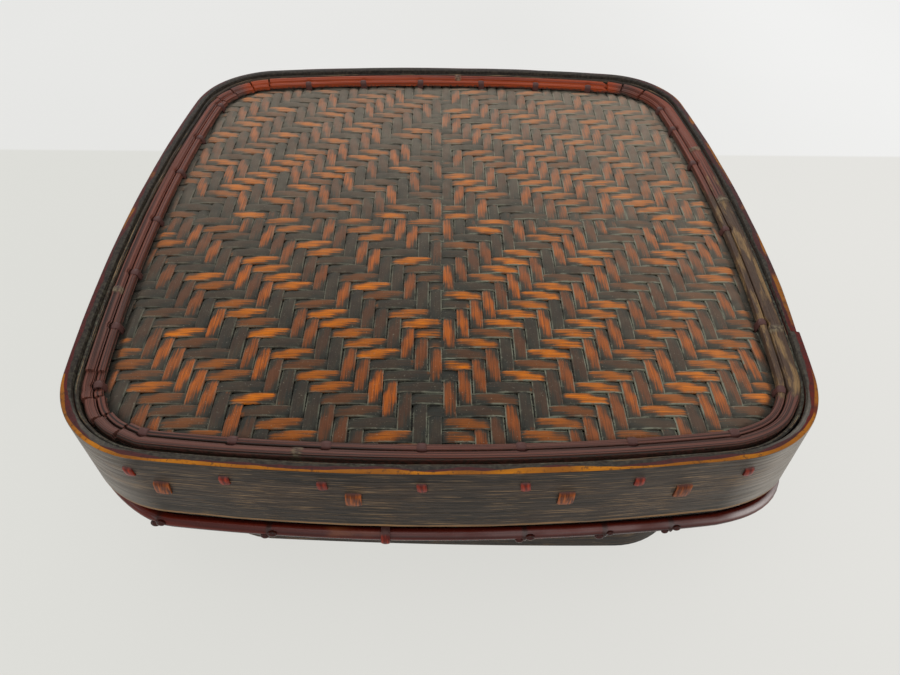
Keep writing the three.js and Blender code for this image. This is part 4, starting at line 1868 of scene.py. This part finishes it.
    def bands(self) -> None:
        """Builds the wall band round the neck and the mouth hoop inside it."""
        section = flat_strip(
            self.band_outer, self.band_thickness, self.band_bottom, self.band_top, 0.3, 0.9
        )
        band = Mesher(("powder",))
        ring(band, LID, LID.stations(4), lambda angle: section)
        band.piece("neck_band", LACQUER, Body.BASKET, "wall_band")
        outer = self.neck_out - self.weave_depth - self.gap
        depth = self.mouth_thickness - self.mouth_arris
        low = self.mouth_level - self.mouth_height
        arch = [(outer, low), (outer, self.mouth_level)] + [
            (
                outer - self.mouth_arris - depth * math.sin(turn),
                mixed(low, self.mouth_level, 0.5 + 0.5 * math.cos(turn)),
            )
            for turn in half_turn(10)
        ]
        hoop = Mesher(HOOP_MARKS)
        ring(hoop, LID, LID.stations(4), lambda angle: arch, lambda angle, j: {"redness": 0.2})
        hoop.piece("mouth_hoop_round", HOOP, Body.BASKET, "mouth_hoop")

    def build(self) -> None:
        """Builds the basket's body."""
        self.wall()
        self.floor(Run.ACROSS)
        self.floor(Run.LENGTHWISE)
        self.bands()


@dataclass
class CulmRing:
    """The thin whole cane round the body, its nodes with their buds, and its ties."""

    radius: float = 2.65
    middle: float = -1.9
    level: float = 64.2
    sides: int = 16
    swell: float = 0.55
    node_shares: tuple = (
        (-0.62, -0.3, 0.02, 0.33, 0.66),
        (-0.6, -0.27, 0.12, 0.38, 0.7),
        (-0.68, -0.35, -0.04, 0.28, 0.6),
        (-0.74, -0.447, 0.213, 0.423, 0.6),
    )
    bud_radius: float = 1.5
    bud_places: tuple = ((-1.9, -0.65), (1.9, 0.35))
    bud_seed: int = 77
    tie_width: float = 3.4
    tie_shares: tuple = ((0.17,), (-0.1,), (0.12,), (-0.146,))
    tie_shade: float = 0.8
    strand: float = 0.7
    crown: float = 0.3
    gap: float = 0.35
    tie_inner: float = -10.95
    waves: Waves = Waves(0.3, 55, 21)
    spring: float = 2.8
    tuck: float = 1.3
    rise: float = 1.7
    low_turn: float = 296.0
    gleam_turn: float = 303.0
    gleam_reach: float = 42.0

    def course(self, angle: float) -> tuple[float, float]:
        """Works out how far the cane springs from its plain course.

        Args:
            angle: The station round the outline.

        Returns:
            The ways outwards and upwards.
        """
        right, left = near_turn(angle, FRONT_RIGHT), near_turn(angle, FRONT_LEFT)
        up = self.waves.at(LID.point(angle)) + self.rise * left - near_turn(angle, self.low_turn)
        return self.spring * right - self.tuck * left, up

    def cane(self) -> None:
        """Builds the cane: smooth between its nodes, ridged at each."""
        mesher = Mesher(CANE_MARKS)
        nodes = angles_of(self.node_shares)
        extra = [node + t * 0.45 / LID.side for node in nodes for t in range(-6, 7)]

        def node_away(angle: float) -> float:
            """Returns how far away the nearest node is."""
            return min((LID.point(n) - LID.point(angle)).length for n in nodes)

        def section(angle: float) -> Points:
            """Returns the section at a station."""
            far = node_away(angle)
            ridge = self.swell * (
                math.exp(-((far / 0.55) ** 2)) * 0.9 + 0.55 * math.exp(-((far / 1.9) ** 2))
            )
            neck = 0.22 * math.exp(-(((far - 1.25) / 0.4) ** 2))
            sway, bend = self.course(angle)
            points = []
            for j in range(self.sides):
                turn = TAU * j / self.sides
                outward = max(0.0, 0.35 + 0.65 * math.cos(turn + 0.7))
                radius = self.radius * 0.98 + (ridge - neck) * outward
                out = self.middle + sway + radius * math.cos(turn)
                points.append((out, self.level + bend + radius * math.sin(turn)))
            return points

        def marks(angle: float, j: int) -> dict[str, float]:
            """Returns the attributes of a section's point."""
            # Painted highlight on the upper side, near the front right corner.
            lit = smooth(1.3 - abs(TAU * j / self.sides - 0.95) / 0.5)
            lit *= near_turn(angle, self.gleam_turn, self.gleam_reach)
            return {"node": 0.75 * smooth(1.6 - node_away(angle)), "shine": lit}

        ring(mesher, LID, LID.stations(3.5, extra), section, marks)
        self.buds(mesher, nodes)
        mesher.piece("cane_ring", CANE, Body.BASKET, "culm_ring", bend=50)

    def buds(self, mesher: Mesher, nodes: Sequence[float]) -> None:
        """Adds the trimmed twig stubs beside each node.

        Args:
            mesher: Takes the stubs.
            nodes: The nodes' angles.
        """
        draw = random.Random(self.bud_seed)
        for node in nodes:
            base, normal, tangent = frame_at(node)
            sway, bend = self.course(node)
            for offset, turn in self.bud_places:
                size = self.bud_radius * draw.uniform(0.75, 1.05)
                part = bmesh.new()
                part.loops.layers.uv.new("lay")
                layer = part.verts.layers.float.new("node")
                part.verts.layers.float.new("shine")
                bmesh.ops.create_icosphere(part, subdivisions=3, radius=size)
                reach = self.radius + 0.15
                centre = base + normal * (self.middle + sway + reach * math.cos(turn))
                centre += Vector((0, 0, self.level + bend + reach * math.sin(turn)))
                centre += tangent * (offset * draw.uniform(0.8, 1.2))
                bmesh.ops.scale(part, vec=(1.25, 0.85, 0.85), verts=part.verts)
                turned = Matrix.Rotation(node + QUARTER, 3, "Z")
                bmesh.ops.rotate(part, matrix=turned, verts=part.verts)
                bmesh.ops.translate(part, vec=centre, verts=part.verts)
                for vert in part.verts:
                    vert[layer] = draw.uniform(0.3, 0.9)
                for face in part.faces:
                    face.smooth = True
                mesher.take(part)

    def ties(self) -> None:
        """Builds the rattan ties that hold the cane to the wall."""
        mesher = Mesher(STRAND_MARKS)
        far = self.radius + self.gap + self.strand / 2
        path = [
            (self.middle + (far + 0.2) * math.cos(turn), self.level + far * math.sin(turn))
            for turn in half_turn(12, -QUARTER)
        ]
        inner = self.tie_inner - self.strand / 2 - self.gap
        path += [
            (-5.5, self.level + far), (-8.5, self.level + far), (inner + 0.5, self.level + far),
            (inner, self.level + far - 0.5), (inner - 0.2, self.level),
            (inner, self.level - far + 0.5), (inner + 0.5, self.level - far),
            (-8.5, self.level - far), (-5.5, self.level - far),
        ]
        for angle in angles_of(self.tie_shares):
            ribbon_loop(
                mesher, path, angle, self.tie_width, self.strand, self.crown, self.tie_shade
            )
        nodes = [f"ring_tie_{side.name.lower()}_1" for side in Side]
        mesher.piece("ring_lashings", RATTAN, Body.BASKET, *nodes, bend=60)

    def build(self) -> None:
        """Builds the ring."""
        self.cane()
        self.ties()


@dataclass
class Foot:
    """The stout strip that the basket stands on and the slats under its floor."""

    basket: BasketBody
    arris: float = 1.1
    batten_width: float = 14.0
    batten_thickness: float = 3.4
    batten_level: float = 4.7
    batten_place: float = 42.0

    def hoop(self) -> None:
        """Builds the foot's strip."""
        plan = Outline(self.basket.foot_half, self.basket.foot_corner, self.basket.foot_side)
        section = flat_strip(
            0.0, self.basket.foot_thickness, 0.0, self.basket.foot_height, 0.6, self.arris
        )
        mesher = Mesher(("powder",))
        ring(
            mesher, plan, plan.stations(3.5), lambda angle: section, None,
            lambda spot: self.basket.lean(spot, 1.0),
        )
        mesher.piece("foot_strip", LACQUER, Body.BASKET, "foot_hoop")

    def batten(self, place: float, name: str, node: str) -> None:
        """Builds one slat with a rounded underside.

        Args:
            place: Where it lies, towards the back.
            name: The piece's name.
            node: The CAD node that it stands for.
        """
        low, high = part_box(node)
        length = (high.x - low.x) / MM - 2
        mesher = Mesher()
        rows, around = 40, 14
        half = self.batten_width / 2 - 0.3

        def spot(i: int, j: int) -> Vector:
            """Returns a point of the slat."""
            turn = TAU * j / around
            side = half * math.cos(turn)
            depth = self.batten_thickness * 0.96
            drop = depth * abs(math.sin(turn)) ** 1.4 if math.sin(turn) < 0 else 0.0
            x = length * (i / rows - 0.5)
            return self.basket.lean(Vector((x, place + side, self.batten_level - drop)), 1.0)

        mesher.sheet(
            rows, around, spot,
            lambda i, j: (length * i / rows * MM, j * self.batten_width / around * MM),
            None, (False, True),
        )
        mesher.piece(name, PLAIN, Body.BASKET, node)

    def build(self) -> None:
        """Builds the foot."""
        self.hoop()
        self.batten(-self.batten_place, "batten_front", "floor_batten_front")
        self.batten(self.batten_place, "batten_back", "floor_batten_back")


@dataclass
class Studio:
    """Pale floor, soft lamps and the camera."""

    eye: tuple[float, ...] = (-2.15, -274.17, 309.93)
    pitch: float = math.radians(46.804)
    yaw: float = math.radians(1.553)
    roll: float = math.radians(1.301)
    lens: float = 27.31
    floor_half: float = 2.5
    seam: float = 0.2276
    floor_tone: Colour = tone(222, 222, 217)
    wall_tone: Colour = tone(231, 231, 229)
    glow_share: float = 0.86
    daylight: float = 0.8

    def camera(self) -> None:
        """Sets the camera at the photograph's angle."""
        ahead = Vector((math.sin(self.yaw), math.cos(self.yaw), 0))
        forward = ahead * math.cos(self.pitch) - Vector((0, 0, math.sin(self.pitch)))
        right = Vector((ahead.y, -ahead.x, 0))
        up = right.cross(forward)
        level = right * math.cos(self.roll) + up * math.sin(self.roll)
        upright = up * math.cos(self.roll) - right * math.sin(self.roll)
        data = bpy.data.cameras.new("eye")
        data.lens, data.sensor_width, data.clip_start = self.lens, 36.0, 0.01
        made = stand("eye", data)
        turn = Matrix((level, upright, -forward)).transposed().to_4x4()
        made.matrix_world = Matrix.Translation(Vector(self.eye) * MM) @ turn
        bpy.context.scene.camera = made

    def floor(self) -> None:
        """Lays the pale floor, a little lighter behind the seam, with painted light making it
        lighter towards the right.
        """
        mesh = bmesh.new()
        bmesh.ops.create_grid(mesh, x_segments=1, y_segments=1, size=self.floor_half)
        made = stand("floor", mesh_of("floor", mesh))
        recipe = Recipe("floor_pale")
        x, seam = recipe.axis("X"), self.seam
        behind = recipe.ramp(recipe.axis("Y"), seam - 0.002, seam + 0.002)
        # Painted light: floor and backdrop lighter towards the right.
        near = recipe.layered(self.floor_tone, (x, -0.35, 0.45, 1.0, tone(230, 229, 225)))
        far = recipe.layered(self.wall_tone, (x, 0.06, 0.42, 1.0, tone(241, 241, 240)))
        cloud = (recipe.grain(3.0, 2.0), 0.3, 0.7, 0.05, tone(205, 204, 200))
        recipe.colour = recipe.layered(recipe.blend(behind, near, far), cloud)
        recipe.finish(0.85)
        self.brighten(recipe)
        made.data.materials.append(recipe.material)

    def brighten(self, recipe: Recipe) -> None:
        """Lets the floor show its plain colour, with its shadows kept faint.

        Args:
            recipe: The floor's material.
        """
        path = recipe.node("ShaderNodeLightPath")
        rays = [path.outputs[f"Is {kind} Ray"] for kind in ("Camera", "Glossy", "Transmission")]
        share = recipe.times(recipe.reckon("MAXIMUM", *rays), self.glow_share)
        glow = recipe.node("ShaderNodeEmission", {"Color": recipe.colour})
        inputs = {0: share, 1: recipe.shader.outputs["BSDF"], 2: glow.outputs["Emission"]}
        mix = recipe.node("ShaderNodeMixShader", inputs)
        recipe.feed(recipe.output.inputs["Surface"], mix.outputs["Shader"])

    def lamp(
        self, name: str, spot: Sequence[float], level: float, size: float, power: float
    ) -> None:
        """Hangs one soft square lamp that faces the basket.

        Args:
            name: Its name.
            spot: Its place, in metres.
            level: The height that it faces, over the table's middle.
            size: Its side.
            power: Its power in watts.
        """
        data = bpy.data.lights.new(name, "AREA")
        data.size, data.energy = size, power
        made = stand(name, data)
        made.location = spot
        aim = Vector((0, 0, level)) - made.location
        made.rotation_euler = aim.to_track_quat("-Z", "Y").to_euler()

    def build(self) -> None:
        """Sets the studio up."""
        self.camera()
        self.floor()
        self.lamp("lamp_top", (0.05, -0.25, 1.5), 0.05, 1.1, 4.0)
        self.lamp("lamp_back", (-0.15, 0.95, 0.8), 0.08, 0.6, 1.6)
        self.lamp("lamp_left", (-1.1, -0.5, 0.45), 0.08, 0.5, 1.0)
        self.lamp("lamp_right", (1.1, -0.5, 0.45), 0.08, 0.5, 1.2)
        world = bpy.data.worlds.new("room")
        world.use_nodes = True
        sky = world.node_tree.nodes["Background"]
        sky.inputs["Color"].default_value = tone(255, 255, 255)
        sky.inputs["Strength"].default_value = self.daylight
        bpy.context.scene.world = world
        bpy.context.scene.view_settings.view_transform = "Standard"


def main() -> None:
    """Builds the basket and its studio."""
    body = BasketBody()
    for assembly in (LidPanel(), LidRim(), Lashings(), body, CulmRing(), Foot(body), Studio()):
        log.info("building %s", type(assembly).__name__)
        assembly.build()


if __name__ == "__main__":
    main()
